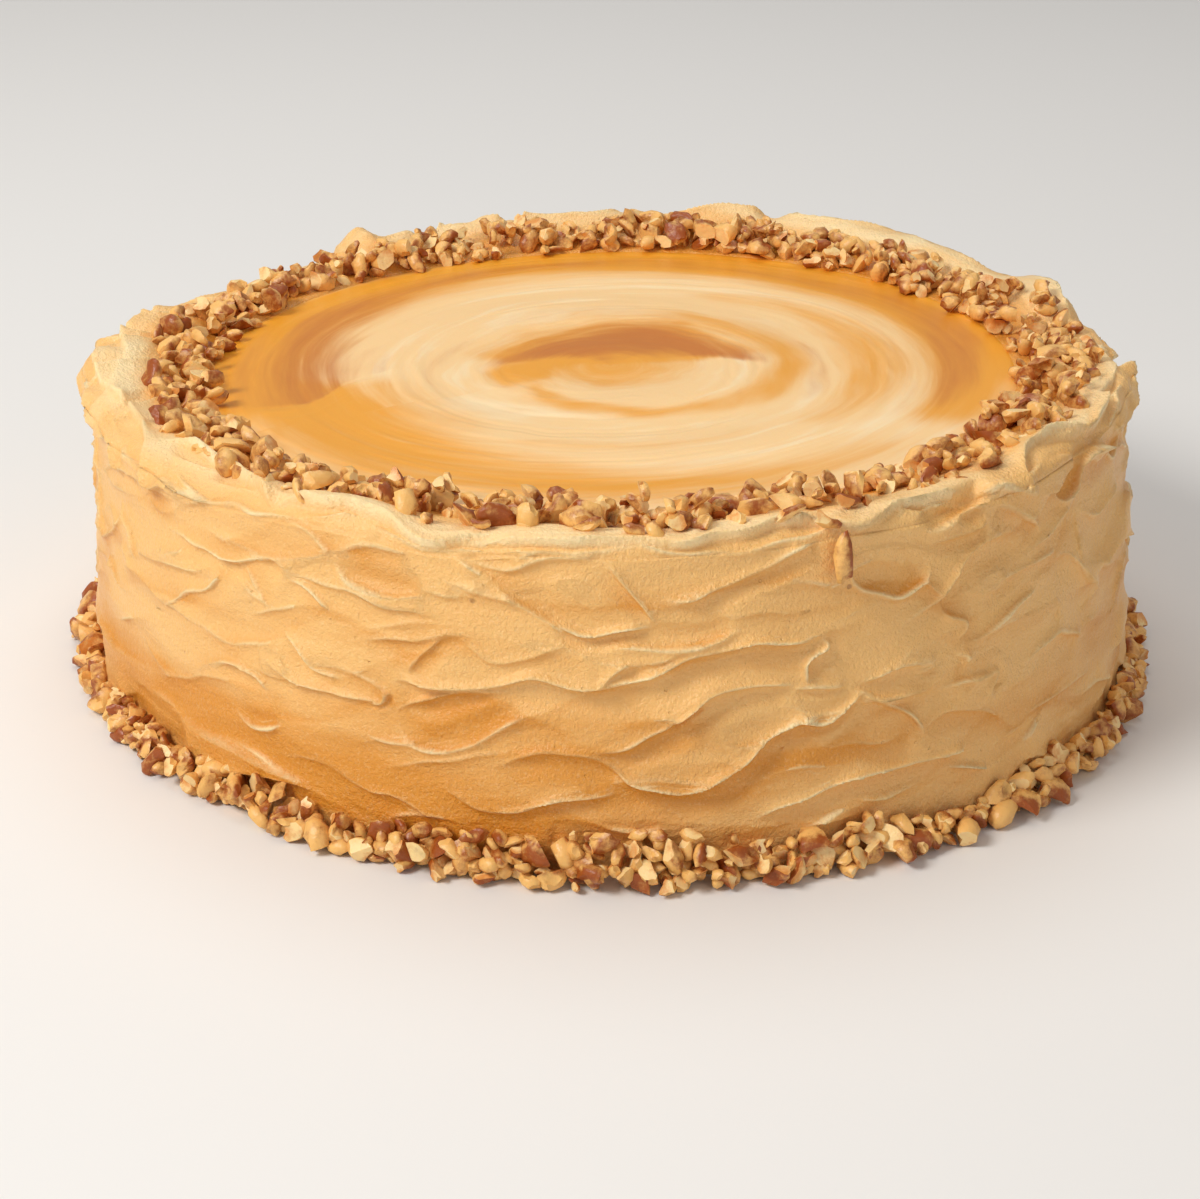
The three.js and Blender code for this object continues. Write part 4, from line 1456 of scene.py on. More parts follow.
@dataclass(frozen=True)
class Arc:
    """A streak of the marbling.

    Its stops are (azimuth, radius, half-width, strength), with rising azimuth. The slant says by how
    many degrees its far end falls back for each millimetre further in.
    """

    tint: Tint
    stops: tuple[tuple[float, float, float, float], ...]
    slant: float = 0.0
    start_soft: float = 6.0  # degrees to each side of its start over which it comes in
    end_soft: float = 8.0  # and to each side of its end over which it goes out
    slanted_soft: float = 1.5  # the same where it has a slant
    falloff: float = 2.2  # the power of its fall to both sides, 2 for a bell curve

    def at(self, azimuth: Array, radius: Array) -> Array:
        """The streak's strength.

        Args:
            azimuth: Degrees from the front.
            radius: Millimetres from the top's middle.

        Returns:
            Its strength at each place.
        """
        stops = np.array(self.stops)
        low, high = stops[0, 0], stops[-1, 0]
        middle = 0.5 * (low + high)
        turned = middle + wrapped(azimuth - middle)
        centre, half, strength = (np.interp(turned, stops[:, 0], stops[:, column]) for column in (1, 2, 3))
        far = high + self.slant * np.minimum(radius - centre, 0.0)
        soft = self.slanted_soft if self.slant else self.end_soft
        begun = smoothstep(low - self.start_soft, low + self.start_soft, turned)
        ends = begun * (1 - smoothstep(far - soft, far + soft, turned))
        return strength * ends * np.exp(-(np.abs((radius - centre) / half) ** self.falloff))


MARBLING: tuple[Arc, ...] = (
    Arc(Tint.BROWN, ((66, 85, 4, 0.35), (80, 85, 6, 0.75), (98, 86, 6, 0.9), (118, 87, 5, 0.7),
                     (150, 87, 5, 0.5), (180, 86, 5, 0.55), (205, 84, 6, 0.6), (225, 81, 8, 0.7),
                     (247, 79, 11, 0.85), (260, 76, 15, 0.85), (272, 74, 18, 0.85),
                     (291, 76, 17, 0.75)), slant=0.77),
    Arc(Tint.BROWN, ((90, 36, 3, 0.5), (98, 31, 5, 0.9), (112, 23, 10, 1.1), (142, 19, 13, 1.2),
                     (164, 20, 15, 1.2), (183, 18, 15, 1.15), (205, 16, 14, 1.1), (228, 17, 11, 1.1),
                     (252, 21, 7, 0.9), (270, 26, 4, 0.5))),
    Arc(Tint.BROWN, ((60, 51, 3, 0.2), (85, 53, 4, 0.45), (112, 50, 3, 0.3))),
    Arc(Tint.BROWN, ((238, 41, 2, 0.25), (265, 41, 2.5, 0.42), (292, 41, 2, 0.3))),
    Arc(Tint.AMBER, ((-50, 24, 4, 0.5), (-20, 28, 4, 0.7), (3, 32, 4, 0.7), (48, 40, 4.5, 0.75),
                     (90, 44, 6, 0.8), (125, 44, 5, 0.5), (160, 44, 4, 0.3))),
    Arc(Tint.AMBER, ((280, 70, 20, 0.8), (298, 72, 24, 1.05), (318, 71, 22, 0.95), (342, 76, 15, 0.8),
                     (365, 82, 12, 0.7), (387, 86, 10, 0.65), (412, 88, 8, 0.45))),
    Arc(Tint.AMBER, ((60, 90, 11, 0.8), (90, 90, 13, 1.2), (120, 90, 13, 1.3), (150, 90, 12, 1.4),
                     (180, 89, 12, 1.5), (210, 88, 13, 1.4), (235, 87, 15, 1.2), (262, 86, 17, 1.1),
                     (292, 88, 13, 0.9))),
    Arc(Tint.AMBER, ((45, 62, 6, 0.4), (85, 64, 8, 0.7), (120, 62, 7, 0.6), (160, 60, 5, 0.35))),
    Arc(Tint.AMBER, ((-20, 56, 3, 0.3), (10, 58, 3, 0.4), (40, 56, 3, 0.3))),
    Arc(Tint.AMBER, ((222, 10, 8, 0.8), (250, 16, 8, 0.9), (280, 20, 7, 0.9), (308, 22, 5, 0.6))),
    Arc(Tint.AMBER, ((-190, 4, 13, 0.8), (190, 4, 13, 0.8))),
    Arc(Tint.AMBER, ((100, 26, 14, 0.6), (150, 22, 20, 0.9), (200, 19, 19, 0.9), (260, 26, 11, 0.7))),
)


@dataclass(frozen=True)
class TurnStrokes:
    """The shallow strokes that the knife left on the top as the cake turned. Spans are drawn from."""

    count: int = 34
    radius: Span = (22.0, 92.0)
    length: Span = (50.0, 120.0)  # degrees
    points: tuple[float, ...] = (0.0, 0.35, 0.7, 1.0)  # shares of its length at which its points lie
    stray: Span = (-0.7, 0.7)
    width: Span = (4.0, 9.0)
    inward: float = 0.5  # share of the strokes whose face lies further in than their edge
    dig: Span = (0.08, 0.2)
    lip: Span = (0.03, 0.1)
    last: Sweep = Sweep(((-86, 54), (-78, 63), (-69, 77), (-68, 90)), -9.0, -0.3, 0.03)

    def strokes(self, drift: float, draw: Callable[..., float]) -> Iterator[Sweep]:
        """Draws the strokes one after another.

        Args:
            drift: Millimetres that a stroke moves out for each degree it runs back round.
            draw: The seeded draw from a span.

        Yields:
            Each stroke, and last the one where the knife was lifted.
        """
        for _ in range(self.count):
            start = draw(-HALF_TURN, HALF_TURN)
            low = draw(*self.radius)
            length = draw(*self.length)
            path = tuple((start - share * length, low + draw(*self.stray) + drift * length * share)
                         for share in self.points)
            width = draw(*self.width) * (1 if draw() < self.inward else -1)
            yield Sweep(path, width, draw(*self.dig), draw(*self.lip))
        yield self.last


@dataclass
class MarbledTop:
    """The smooth top inside the rim, with the arcs that the turning knife left."""

    form: CakeForm
    finish: MarbledButtercream = MarbledButtercream()
    name: str = "frosting_top"
    rows: int = 150
    columns: int = 600
    middle: float = 0.6  # radius at which the rings start round the middle
    between: float = 3.0  # a radius between that ring and the outermost one
    mean_share: float = 0.6  # the share of its radius at which its strokes have their true length
    reach: float = 1.5  # how far it runs under the nuts, past the foot of the rim's slope
    sink: float = 0.7  # how far its edge dips there
    sink_width: float = 1.5  # and how far inside the slope's foot that starts
    thickness: float = 3.0
    strokes: TurnStrokes = TurnStrokes()
    drift: float = 0.06  # millimetres that an arc moves out for each degree it runs back round
    calm: Span = (2.0, 14.0)  # the radii between which the relief comes in
    spiral_depth: float = 0.3
    spiral_pitch: float = 34.0
    ripple: float = 0.015
    ripple_size: Span = (0.6, 6.0)
    waver: float = 1.8  # how far the marbling strays from its arcs
    waver_size: Span = (6.0, 20.0)
    fine_waver: float = 0.35  # the finer waver, as a share of the first
    fine_waver_size: Span = (1.8, 7.0)
    waver_from: Span = (6.0, 22.0)  # the radii between which it comes in
    lifted: float = -60.0  # the azimuth at which the knife was lifted
    drift_from: Span = (20.0, 60.0)  # the radii between which the streaks start to drift
    streaks_round: float = 0.55  # how quickly the streaks' noise changes round the cake
    streaks_gain: float = 0.012  # and how much more so for each millimetre further out
    streaks_from: Span = (0.0, 16.0)
    streaks_across: float = 0.22
    seed: int = 23

    def build(self) -> Piece:
        """Models the piece and dresses it.

        Returns:
            The piece.
        """
        sheet = self.spread()
        piece = grid_piece(self.name, sheet.rows, sheet.columns)
        azimuth, radius = sheet.azimuth[None, :], sheet.rise[:, None]
        set_points(piece, closed_ring(self.placed(sheet)))
        waver = self.waver * sheet.noise(*self.waver_size)
        waver = waver + self.fine_waver * self.waver * sheet.noise(*self.fine_waver_size)
        bent = radius + waver * smoothstep(*self.waver_from, radius)
        for tint in Tint:
            share = sum(arc.at(azimuth, bent) for arc in MARBLING if arc.tint is tint)
            set_attribute(piece, tint.value, closed_ring(share).reshape(-1, 1))
        set_attribute(piece, "swirl", closed_ring(self.swirl(azimuth, bent)).reshape(-1, 3))
        merge_seam(piece)
        shift, between = self.form.top_shift, self.between
        close_edge(piece, lambda points: np.hypot(points[:, 0] - shift, points[:, 1]) < between)
        close_edge(piece, lambda points: np.hypot(points[:, 0], points[:, 1]) > between,
                   drop=self.thickness)
        smooth(piece)
        piece.data.materials.append(self.finish.material())
        return piece

    def spread(self) -> Sheet:
        """Lays out the top's sheet with its rows from the middle outwards, and draws the knife's strokes.

        Returns:
            The sheet.
        """
        outer = self.form.top_radius + self.reach
        mm_per_degree = math.radians(self.mean_share * outer)
        sheet = Sheet(self.rows, self.columns, self.middle, outer, mm_per_degree, self.seed,
                      waver=0.3, edge=0.6, lip_inside=0.6, lip_outside=1.1, kept=0.4)
        for stroke in self.strokes.strokes(self.drift, sheet.rng.uniform):
            sheet.sweep(stroke)
        return sheet

    def placed(self, sheet: Sheet) -> Array:
        """Lays the sheet in the rim.

        Args:
            sheet: The sheet.

        Returns:
            Its points, in millimetres.
        """
        form = self.form
        azimuth, radius = sheet.azimuth[None, :], sheet.rise[:, None]
        calm = smoothstep(*self.calm, radius)
        phase = np.radians(azimuth) - 2 * math.pi * radius / self.spiral_pitch
        height = form.top_height - form.top_dip * (1 - (radius / form.top_radius) ** 2)
        height = height + calm * (self.spiral_depth * np.sin(phase) + sheet.height)
        height = height + calm * self.ripple * sheet.noise(*self.ripple_size)
        dip = smoothstep(form.top_radius - self.sink_width, form.top_radius + self.reach, radius)
        return form.settled(azimuth, radius, height - self.sink * dip)

    def swirl(self, azimuth: Array, radius: Array) -> Array:
        """Where each place lies along and across the arcs, for the marbling's streaks.

        The first two numbers run slowly round the cake, and the third quickly across the arcs, which
        drift outwards as they run back round from the edge where the knife was lifted.

        Args:
            azimuth: Degrees from the front.
            radius: Millimetres from the top's middle.

        Returns:
            The three numbers along the last axis.
        """
        back = (self.lifted - azimuth) % FULL_TURN
        drift = self.drift * back * smoothstep(*self.drift_from, radius)
        a = np.radians(azimuth)
        stretch = (self.streaks_round + self.streaks_gain * radius) * smoothstep(*self.streaks_from, radius)
        return np.stack([stretch * np.cos(a), stretch * np.sin(a),
                         self.streaks_across * (radius - drift)], axis=-1)


# ---- The chopped nuts ----


@dataclass(frozen=True)
class Chunk:
    """One chopped piece as a shape to copy: its points for a length of 1, its triangles and their finish."""

    points: Array
    triangles: Array
    is_cut: Array


@dataclass
class NutChopper:
    """Chops a few different pieces, which are then scattered many times over. Spans are drawn from."""

    shapes: int = 18
    seed: int = 5
    width: Span = (0.48, 0.8)  # for a length of 1, as all its sizes are
    thickness: Span = (0.4, 0.62)
    roughness: Span = (0.03, 0.07)
    fold: Span = (0.05, 0.28)  # how deep the fold along the nut's one side is
    fold_size: float = 0.42
    end_stray: Span = (-0.6, 0.6)
    end: Span = (-0.1, 0.15)  # how far an end is pushed in
    end_size: float = 0.3
    dents: int = 3
    dent: Span = (0.08, 0.26)
    dent_size: float = 0.26
    cuts: tuple[int, int] = (1, 3)  # at least the first, and fewer than the second
    half_size: tuple[float, float, float] = (0.5, 0.35, 0.3)  # about its reach from the middle
    cut_place: Span = (0.3, 0.75)  # how far out a cut lies, as a share of that
    cut_aligned: float = 0.985  # the cosine to a cut's way from which a triangle belongs to it,
    cut_gap: float = 0.02  # if it lies this near it

    def chop(self) -> list[Chunk]:
        """Makes the shapes.

        Returns:
            The shapes to copy.
        """
        rng = np.random.default_rng(self.seed)
        return [self.chunk(rng, index) for index in range(self.shapes)]

    def chunk(self, rng: np.random.Generator, index: int) -> Chunk:
        """Models one piece: a lump with the folds of a nut, cut across by the knife.

        Args:
            rng: The seeded draw.
            index: The piece's number, which seeds its lumpiness.

        Returns:
            The shape.
        """
        deselect()
        bpy.ops.mesh.primitive_ico_sphere_add(subdivisions=2, radius=0.5)
        lump = bpy.context.object
        draw = rng.uniform
        bpy.ops.object.mode_set(mode="EDIT")
        bpy.ops.transform.resize(value=(1.0, draw(*self.width), draw(*self.thickness)))
        bpy.ops.transform.vertex_random(offset=draw(*self.roughness), seed=index)
        self.press(lump, Vector((0.0, 1.0, 0.0)), draw(*self.fold), self.fold_size)
        for end in (-1.0, 1.0):
            self.press(lump, Vector((end, draw(*self.end_stray), 0.0)), draw(*self.end), self.end_size)
        for _ in range(self.dents):
            toward = Vector(rng.standard_normal(3)).normalized()
            self.press(lump, toward, draw(*self.dent), self.dent_size)
        planes = []
        for _ in range(rng.integers(*self.cuts)):
            normal = Vector(rng.standard_normal(3)).normalized()
            reach = max(abs(part) * half for part, half in zip(normal, self.half_size))
            point = normal * reach * draw(*self.cut_place)
            planes.append((point, normal))
            bpy.ops.mesh.select_all(action="SELECT")
            bpy.ops.mesh.bisect(plane_co=point, plane_no=normal, use_fill=True, clear_outer=True)
        bpy.ops.object.mode_set(mode="OBJECT")
        chunk = self.measured(lump, planes)
        bpy.data.objects.remove(lump)
        return chunk

    @staticmethod
    def press(lump: Piece, toward: Vector, depth: float, size: float) -> None:
        """Pushes one side of a lump in, or pulls it out, as the folds of a nut go.

        Args:
            lump: The piece, in edit mode.
            toward: The side, as a direction from the middle.
            depth: How far it goes in. Below 0 it comes out.
            size: How far round it the lump follows.
        """
        bpy.ops.mesh.select_all(action="DESELECT")
        bpy.ops.object.mode_set(mode="OBJECT")
        nearest = max(lump.data.vertices, key=lambda vertex: vertex.co.dot(toward))
        nearest.select = True
        bpy.ops.object.mode_set(mode="EDIT")
        bpy.ops.transform.translate(value=-toward * depth, use_proportional_edit=True,
                                    proportional_edit_falloff="SMOOTH", proportional_size=size)

    def measured(self, lump: Piece, planes: list[tuple[Vector, Vector]]) -> Chunk:
        """Reads a modelled piece back as a shape to copy.

        Args:
            lump: The piece.
            planes: A point and the direction of each cut.

        Returns:
            The shape, centred and of length 1.
        """
        mesh = lump.data
        mesh.calc_loop_triangles()
        points = np.array([vertex.co for vertex in mesh.vertices])
        triangles = np.array([triangle.vertices for triangle in mesh.loop_triangles])
        normals = np.array([triangle.normal for triangle in mesh.loop_triangles])
        middles = points[triangles].mean(axis=1)
        is_cut = np.zeros(len(triangles), bool)
        for point, normal in planes:
            aligned = normals @ np.array(normal) > self.cut_aligned
            close = np.abs((middles - np.array(point)) @ np.array(normal)) < self.cut_gap
            is_cut |= aligned & close
        points = points - 0.5 * (points.min(axis=0) + points.max(axis=0))
        return Chunk(points / np.ptp(points, axis=0).max(), triangles, is_cut)


@dataclass(frozen=True)
class SetNut:
    """A nut at a place of its own, on the rim's outer edge or lying flat against the side.

    Its size is its length, width and thickness, and its tilt its length's, in degrees from level.
    """

    azimuth: float
    radius: float
    height: float
    size: tuple[float, float, float]
    tilt: float
    shape: int
    tone: float

    def frame(self) -> Array:
        """Works out how it lies.

        Returns:
            The directions of its length, width and thickness, as columns.
        """
        a, tilt = math.radians(self.azimuth), math.radians(self.tilt)
        out = np.array([math.sin(a), -math.cos(a), 0.0])
        level = np.array([math.cos(a), math.sin(a), 0.0])
        along = level * math.cos(tilt) - np.array([0.0, 0.0, math.sin(tilt)])
        return np.stack([along, np.cross(out, along), out], axis=1)


FALLEN_NUTS: tuple[SetNut, ...] = (
    SetNut(22.4, 125.0, 67.2, (11.5, 7.0, 6.0), tilt=84.0, shape=9, tone=0.3),
    SetNut(18.2, 119.0, 75.6, (7.0, 5.0, 4.0), tilt=-15.0, shape=3, tone=0.2),
    SetNut(21.6, 121.6, 73.6, (7.0, 5.0, 4.5), tilt=30.0, shape=5, tone=0.3),
    SetNut(24.5, 118.0, 75.8, (6.5, 4.5, 4.0), tilt=20.0, shape=7, tone=0.6),
    SetNut(-12.0, 117.4, 74.8, (4.5, 3.6, 3.4), tilt=0.0, shape=2, tone=0.2),
    SetNut(3.0, 118.6, 74.6, (5.0, 4.0, 3.6), tilt=15.0, shape=4, tone=0.4),
    SetNut(-1.5, 117.6, 75.4, (6.0, 4.4, 3.6), tilt=-20.0, shape=6, tone=0.1),
)


def ripple(azimuth: float, count: int, phase: float = 0.0) -> float:
    """A wave of depth 1, so many times round the cake."""
    return math.sin(math.radians(count * azimuth + phase))


def swell(azimuth: float) -> float:
    """How the piles rise and fall round the cake, from about -2 to 2."""
    return ripple(azimuth, 7, 50.0) + ripple(azimuth, 17)


def bell(azimuth: float, middle: float, half: float) -> float:
    """A bell curve of height 1 round an azimuth."""
    return math.exp(-((float(wrapped(azimuth - middle)) / half) ** 2))


@dataclass(frozen=True)
class RimBed:
    """Where the nuts along the rim lie: on its inner slope and its crest, fewer at the left."""

    form: CakeForm
    name: str = "nuts_rim"
    set_nuts: tuple[SetNut, ...] = FALLEN_NUTS
    margin: float = 8.0  # how far inside the slope's foot the map of the ground starts
    inner_gap: float = 2.0  # how far inside the slope's foot the ring starts
    inner_wave: float = 2.0
    hidden_outer: float = 110.8  # the ring's outer radius at the left and the back
    open_outer: float = 117.5  # and at the front and the right
    outer_wave: float = 1.5
    across: Span = (1.6, 1.4)  # shapes the draw across the ring
    open_middle: float = 32.0  # the azimuth round which the open stretch lies
    open_start: Span = (-98.0, -62.0)  # the degrees from there between which it begins
    open_end: Span = (70.0, 100.0)
    clumps: float = 0.1
    sparse_azimuth: float = -85.0
    sparse_half: float = 30.0
    sparse: float = 0.25  # share of the nuts that is missing there
    roof_height: float = 75.0
    roof_open: float = 1.6  # how much higher the roof is on the open stretch
    roof_swell: float = 0.9

    @property
    def span(self) -> Span:
        """The radii between which the map of the ground runs."""
        return self.form.top_radius - self.margin, self.form.shoulder_radius

    def ground(self, azimuth: Array, radius: Array) -> Array:
        """The height that the nuts lie on, before any of them."""
        lifted = smoothstep(self.form.top_radius, self.form.crest_radius, radius)
        return self.form.slope_height(radius) + self.form.rim_lobe(azimuth)[0] * lifted

    def openness(self, azimuth: float) -> float:
        """How near the edge the nuts lie, from 0 at the left and behind to 1 in front and at the right."""
        turned = float(wrapped(azimuth - self.open_middle))
        return float(smoothstep(*self.open_start, turned) * (1 - smoothstep(*self.open_end, turned)))

    def spot(self, azimuth: float, length: float, rng: np.random.Generator) -> float:
        """Draws how far out the next nut falls.

        Args:
            azimuth: Degrees from the front.
            length: The nut's length, which is not used.
            rng: The seeded draw.

        Returns:
            The radius.
        """
        inner = self.form.top_radius - self.inner_gap + self.inner_wave * ripple(azimuth, 5)
        outer = lerp(self.hidden_outer, self.open_outer, self.openness(azimuth))
        outer = outer + self.outer_wave * ripple(azimuth, 11, 40.0)
        return float(lerp(inner, outer, rng.beta(*self.across)))

    def keeps(self, azimuth: float, rng: np.random.Generator) -> bool:
        """Draws whether a nut stays where it fell.

        Args:
            azimuth: Degrees from the front.
            rng: The seeded draw.

        Returns:
            Whether it stays.
        """
        clumps = self.clumps * ripple(azimuth, 9) + self.clumps * ripple(azimuth, 23)
        cover = 1.0 - self.sparse * bell(azimuth, self.sparse_azimuth, self.sparse_half) + clumps
        return rng.uniform() <= cover

    def roof(self, azimuth: float, radius: float) -> float:
        """How high the pile may grow, at any radius."""
        return self.roof_height + self.roof_open * self.openness(azimuth) + self.roof_swell * swell(azimuth)


@dataclass(frozen=True)
class HeapBed:
    """Where the nuts round the foot lie: heaped against the side, highest in front."""

    form: CakeForm
    name: str = "nuts_foot"
    set_nuts: tuple[SetNut, ...] = ()
    margin: float = 4.0  # how far inside the side the map of the ground starts
    room: float = 14.0  # and how far outside the heap it ends
    wall: float = 1.0  # how far inside the side the ground rises
    wall_height: float = 4.0
    wall_share: float = 0.3  # share of its length by which a nut's middle stays off the side
    foot: float = 3.2  # how far outside the heap's radius the last nuts lie
    oval: float = 0.4  # share of the heap's spread by which they lie nearer
    inwards: float = 1.4  # above 1, more of the nuts lie near the side
    slope: float = 6.0  # how far outside the heap's radius its roof has come down
    roof_height: float = 7.6
    roof_swell: float = 1.4
    roof_front: float = 5.0  # how much higher it is in front
    front_half: float = 32.0
    roof_end: float = 2.6
    roof_power: float = 0.9

    @property
    def span(self) -> Span:
        """The radii between which the map of the ground runs."""
        return self.form.belly_radius - self.margin, self.form.heap_radius + self.room

    def ground(self, azimuth: Array, radius: Array) -> Array:
        """The height that the nuts lie on, before any of them."""
        under_side = radius < self.form.belly_radius - self.wall
        return np.repeat(np.where(under_side, self.wall_height, 0.0), azimuth.size, axis=1)

    def spot(self, azimuth: float, length: float, rng: np.random.Generator) -> float:
        """Draws how far out the next nut falls.

        Args:
            azimuth: Degrees from the front.
            length: The nut's length.
            rng: The seeded draw.

        Returns:
            The radius.
        """
        wall = self.form.belly_radius + self.wall_share * length
        room = self.form.heap_radius + self.foot - self.oval * self.form.heap_spread(azimuth) - wall
        return float(wall + room * rng.uniform() ** self.inwards)

    def keeps(self, azimuth: float, rng: np.random.Generator) -> bool:
        """Whether a nut stays where it fell, as each does here."""
        return True

    def roof(self, azimuth: float, radius: float) -> float:
        """How high the pile may grow at a place.

        Args:
            azimuth: Degrees from the front.
            radius: Millimetres from the axis.

        Returns:
            The height that no nut's middle passes.
        """
        form = self.form
        outward = (radius - form.belly_radius) / (form.heap_radius + self.slope - form.belly_radius)
        front = self.roof_front * bell(azimuth, 0.0, self.front_half)
        highest = self.roof_height + self.roof_swell * swell(azimuth) + front
        return lerp(highest, self.roof_end, min(max(outward, 0.0), 1.0) ** self.roof_power)


@dataclass
class Pile:
    """Nuts gathered up to be one mesh."""

    skin: float = 0.68  # how much browner a nut's one side is
    skin_from: Span = (0.02, 0.16)  # how far off its middle that comes in, for a length of 1
    points: list[Array] = field(default_factory=list)
    triangles: list[Array] = field(default_factory=list)
    is_cut: list[Array] = field(default_factory=list)
    tones: list[Array] = field(default_factory=list)
    size: int = 0  # how many points there are

    def add(self, chunk: Chunk, points: Array, tone: float) -> None:
        """Adds a nut.

        Args:
            chunk: Its shape.
            points: Where the shape's points lie, in millimetres.
            tone: How brown it is.
        """
        self.points.append(points)
        self.triangles.append(chunk.triangles + self.size)
        self.is_cut.append(chunk.is_cut)
        self.tones.append(tone + self.skin * smoothstep(*self.skin_from, chunk.points[:, 1]))
        self.size += len(points)

    def joined(self, name: str, sharp: float = 48.0) -> Piece:
        """Makes one mesh of all the nuts, with its two finishes.

        Args:
            name: The piece's name.
            sharp: The angle in degrees from which an edge is shaded sharp.

        Returns:
            The piece.
        """
        mesh = bpy.data.meshes.new(name)
        triangles = np.vstack(self.triangles)
        mesh.from_pydata((np.vstack(self.points) * MM).tolist(), [], triangles.tolist())
        piece = bpy.data.objects.new(name, mesh)
        bpy.context.scene.collection.objects.link(piece)
        for finish in (NUT_SKIN, NUT_INSIDE):
            known = bpy.data.materials.get(finish.name)
            mesh.materials.append(known or finish.material())
        mesh.polygons.foreach_set("material_index", np.concatenate(self.is_cut).astype(np.int32))
        set_attribute(piece, "tone", np.concatenate(self.tones).reshape(-1, 1))
        smooth(piece, sharp)
        return piece


@dataclass
class NutRing:
    """A ring of chopped nuts, piled up piece by piece on a map of the ground's height."""

    form: CakeForm
    bed: RimBed | HeapBed
    chunks: list[Chunk]
    count: int
    seed: int
    shortest: float = 3.0
    longest: float = 9.2
    lengths: Span = (1.5, 2.6)  # shapes the draw between them, so that most are short
    stray: float = 1.5  # the spread in degrees round their even places
    cell: float = 0.75
    floor_gap: float = 0.25
    tries: int = 8
    footprint: float = 0.42  # a nut's half width on the map, as a share of its length
    bedding: float = 0.27  # how high above the ground its middle comes to lie, likewise
    dome: float = 0.3  # and how high above its middle it reaches
    dome_edge: float = 0.95  # the share of the footprint that it raises
    stretch: tuple[tuple[float, ...], tuple[float, ...]] = ((1.0, 0.8, 0.8), (1.0, 1.15, 1.15))
    tone: Span = (-0.25, 0.5)
    tip: float = 0.55  # the spread in radians by which nuts lie tipped over

    def __post_init__(self) -> None:
        """Lays out the map."""
        self.rng = np.random.default_rng(self.seed)
        self.low, high = self.bed.span
        self.radii = np.arange(self.low, high, self.cell)
        self.columns = round(2 * math.pi * high / self.cell)
        self.azimuths = np.linspace(0.0, FULL_TURN, self.columns, endpoint=False)
        self.ground = self.bed.ground(self.azimuths[None, :], self.radii[:, None])

    def settle(self, azimuth: float, radius: float, length: float) -> float | None:
        """Lets a nut down onto the pile.

        Args:
            azimuth: Degrees from the front.
            radius: Millimetres from the axis.
            length: The nut's length.

        Returns:
            The height of its middle, or None where the pile is full. The pile's map is raised by it.
        """
        half = self.footprint * length
        reach = int(half / self.cell) + 1
        row = int((radius - self.low) / self.cell)
        column = int(azimuth / FULL_TURN * self.columns)
        rows = np.arange(max(0, row - reach), min(len(self.radii), row + reach + 1))
        columns = np.arange(column - reach - 1, column + reach + 2)
        place = np.ix_(rows, columns % self.columns)
        across = wrapped(self.azimuths[columns % self.columns] - azimuth)[None, :] * math.radians(radius)
        away = np.hypot(across, self.radii[rows][:, None] - radius) / half
        base = np.percentile(self.ground[place][away < 1.0], 50)
        middle = base + self.bedding * length
        if middle > self.bed.roof(azimuth, radius):
            return None
        dome = middle + self.dome * length * np.sqrt(np.clip(1 - away**2, 0.0, 1.0))
        raised = np.maximum(self.ground[place], dome)
        self.ground[place] = np.where(away < self.dome_edge, raised, self.ground[place])
        return float(middle)

    def landing(self, number: int, length: float) -> tuple[float, float, float] | None:
        """Finds a nut a place to lie, in a few tries.

        Args:
            number: The nut's number, which gives it an even place round the cake.
            length: Its length.

        Returns:
            Azimuth, radius and height of its middle, or None where each try found the pile full.
        """
        even = FULL_TURN * (number * GOLDEN_SHARE % 1.0)
        for _ in range(self.tries):
            azimuth = (even + self.rng.normal(0.0, self.stray)) % FULL_TURN
            radius = self.bed.spot(azimuth, length, self.rng)
            height = self.settle(azimuth, radius, length)
            if height is not None:
                return azimuth, radius, height
        return None

    def turned(self) -> Array:
        """Draws a turn that mostly leaves a nut lying on its side.

        Returns:
            The turn as a matrix.
        """
        tip, roll = self.rng.normal(0.0, self.tip, 2)
        turn = Matrix.Rotation(self.rng.uniform(0.0, 2 * math.pi), 3, "Z")
        turn = turn @ Matrix.Rotation(tip, 3, "Y") @ Matrix.Rotation(roll, 3, "X")
        return np.array(turn)

    def build(self) -> Piece:
        """Models the ring and dresses it.

        Returns:
            The piece.
        """
        pile = Pile()
        for number in range(self.count):
            length = self.shortest + (self.longest - self.shortest) * self.rng.beta(*self.lengths)
            landing = self.landing(number, length)
            if landing is None or not self.bed.keeps(landing[0], self.rng):
                continue
            chunk = self.chunks[self.rng.integers(len(self.chunks))]
            placed = (chunk.points * (length * self.rng.uniform(*self.stretch))) @ self.turned().T
            placed = placed + self.form.settled(*landing)
            low = placed[:, 2].min()
            if low < self.floor_gap:
                placed[:, 2] += self.floor_gap - low
            pile.add(chunk, placed, self.rng.uniform(*self.tone))
        for nut in self.bed.set_nuts:
            chunk = self.chunks[nut.shape]
            placed = (chunk.points * nut.size) @ nut.frame().T
            placed = placed + self.form.settled(nut.azimuth, nut.radius, nut.height)
            pile.add(chunk, placed, nut.tone)
        return pile.joined(self.bed.name)


# ---- The studio ----


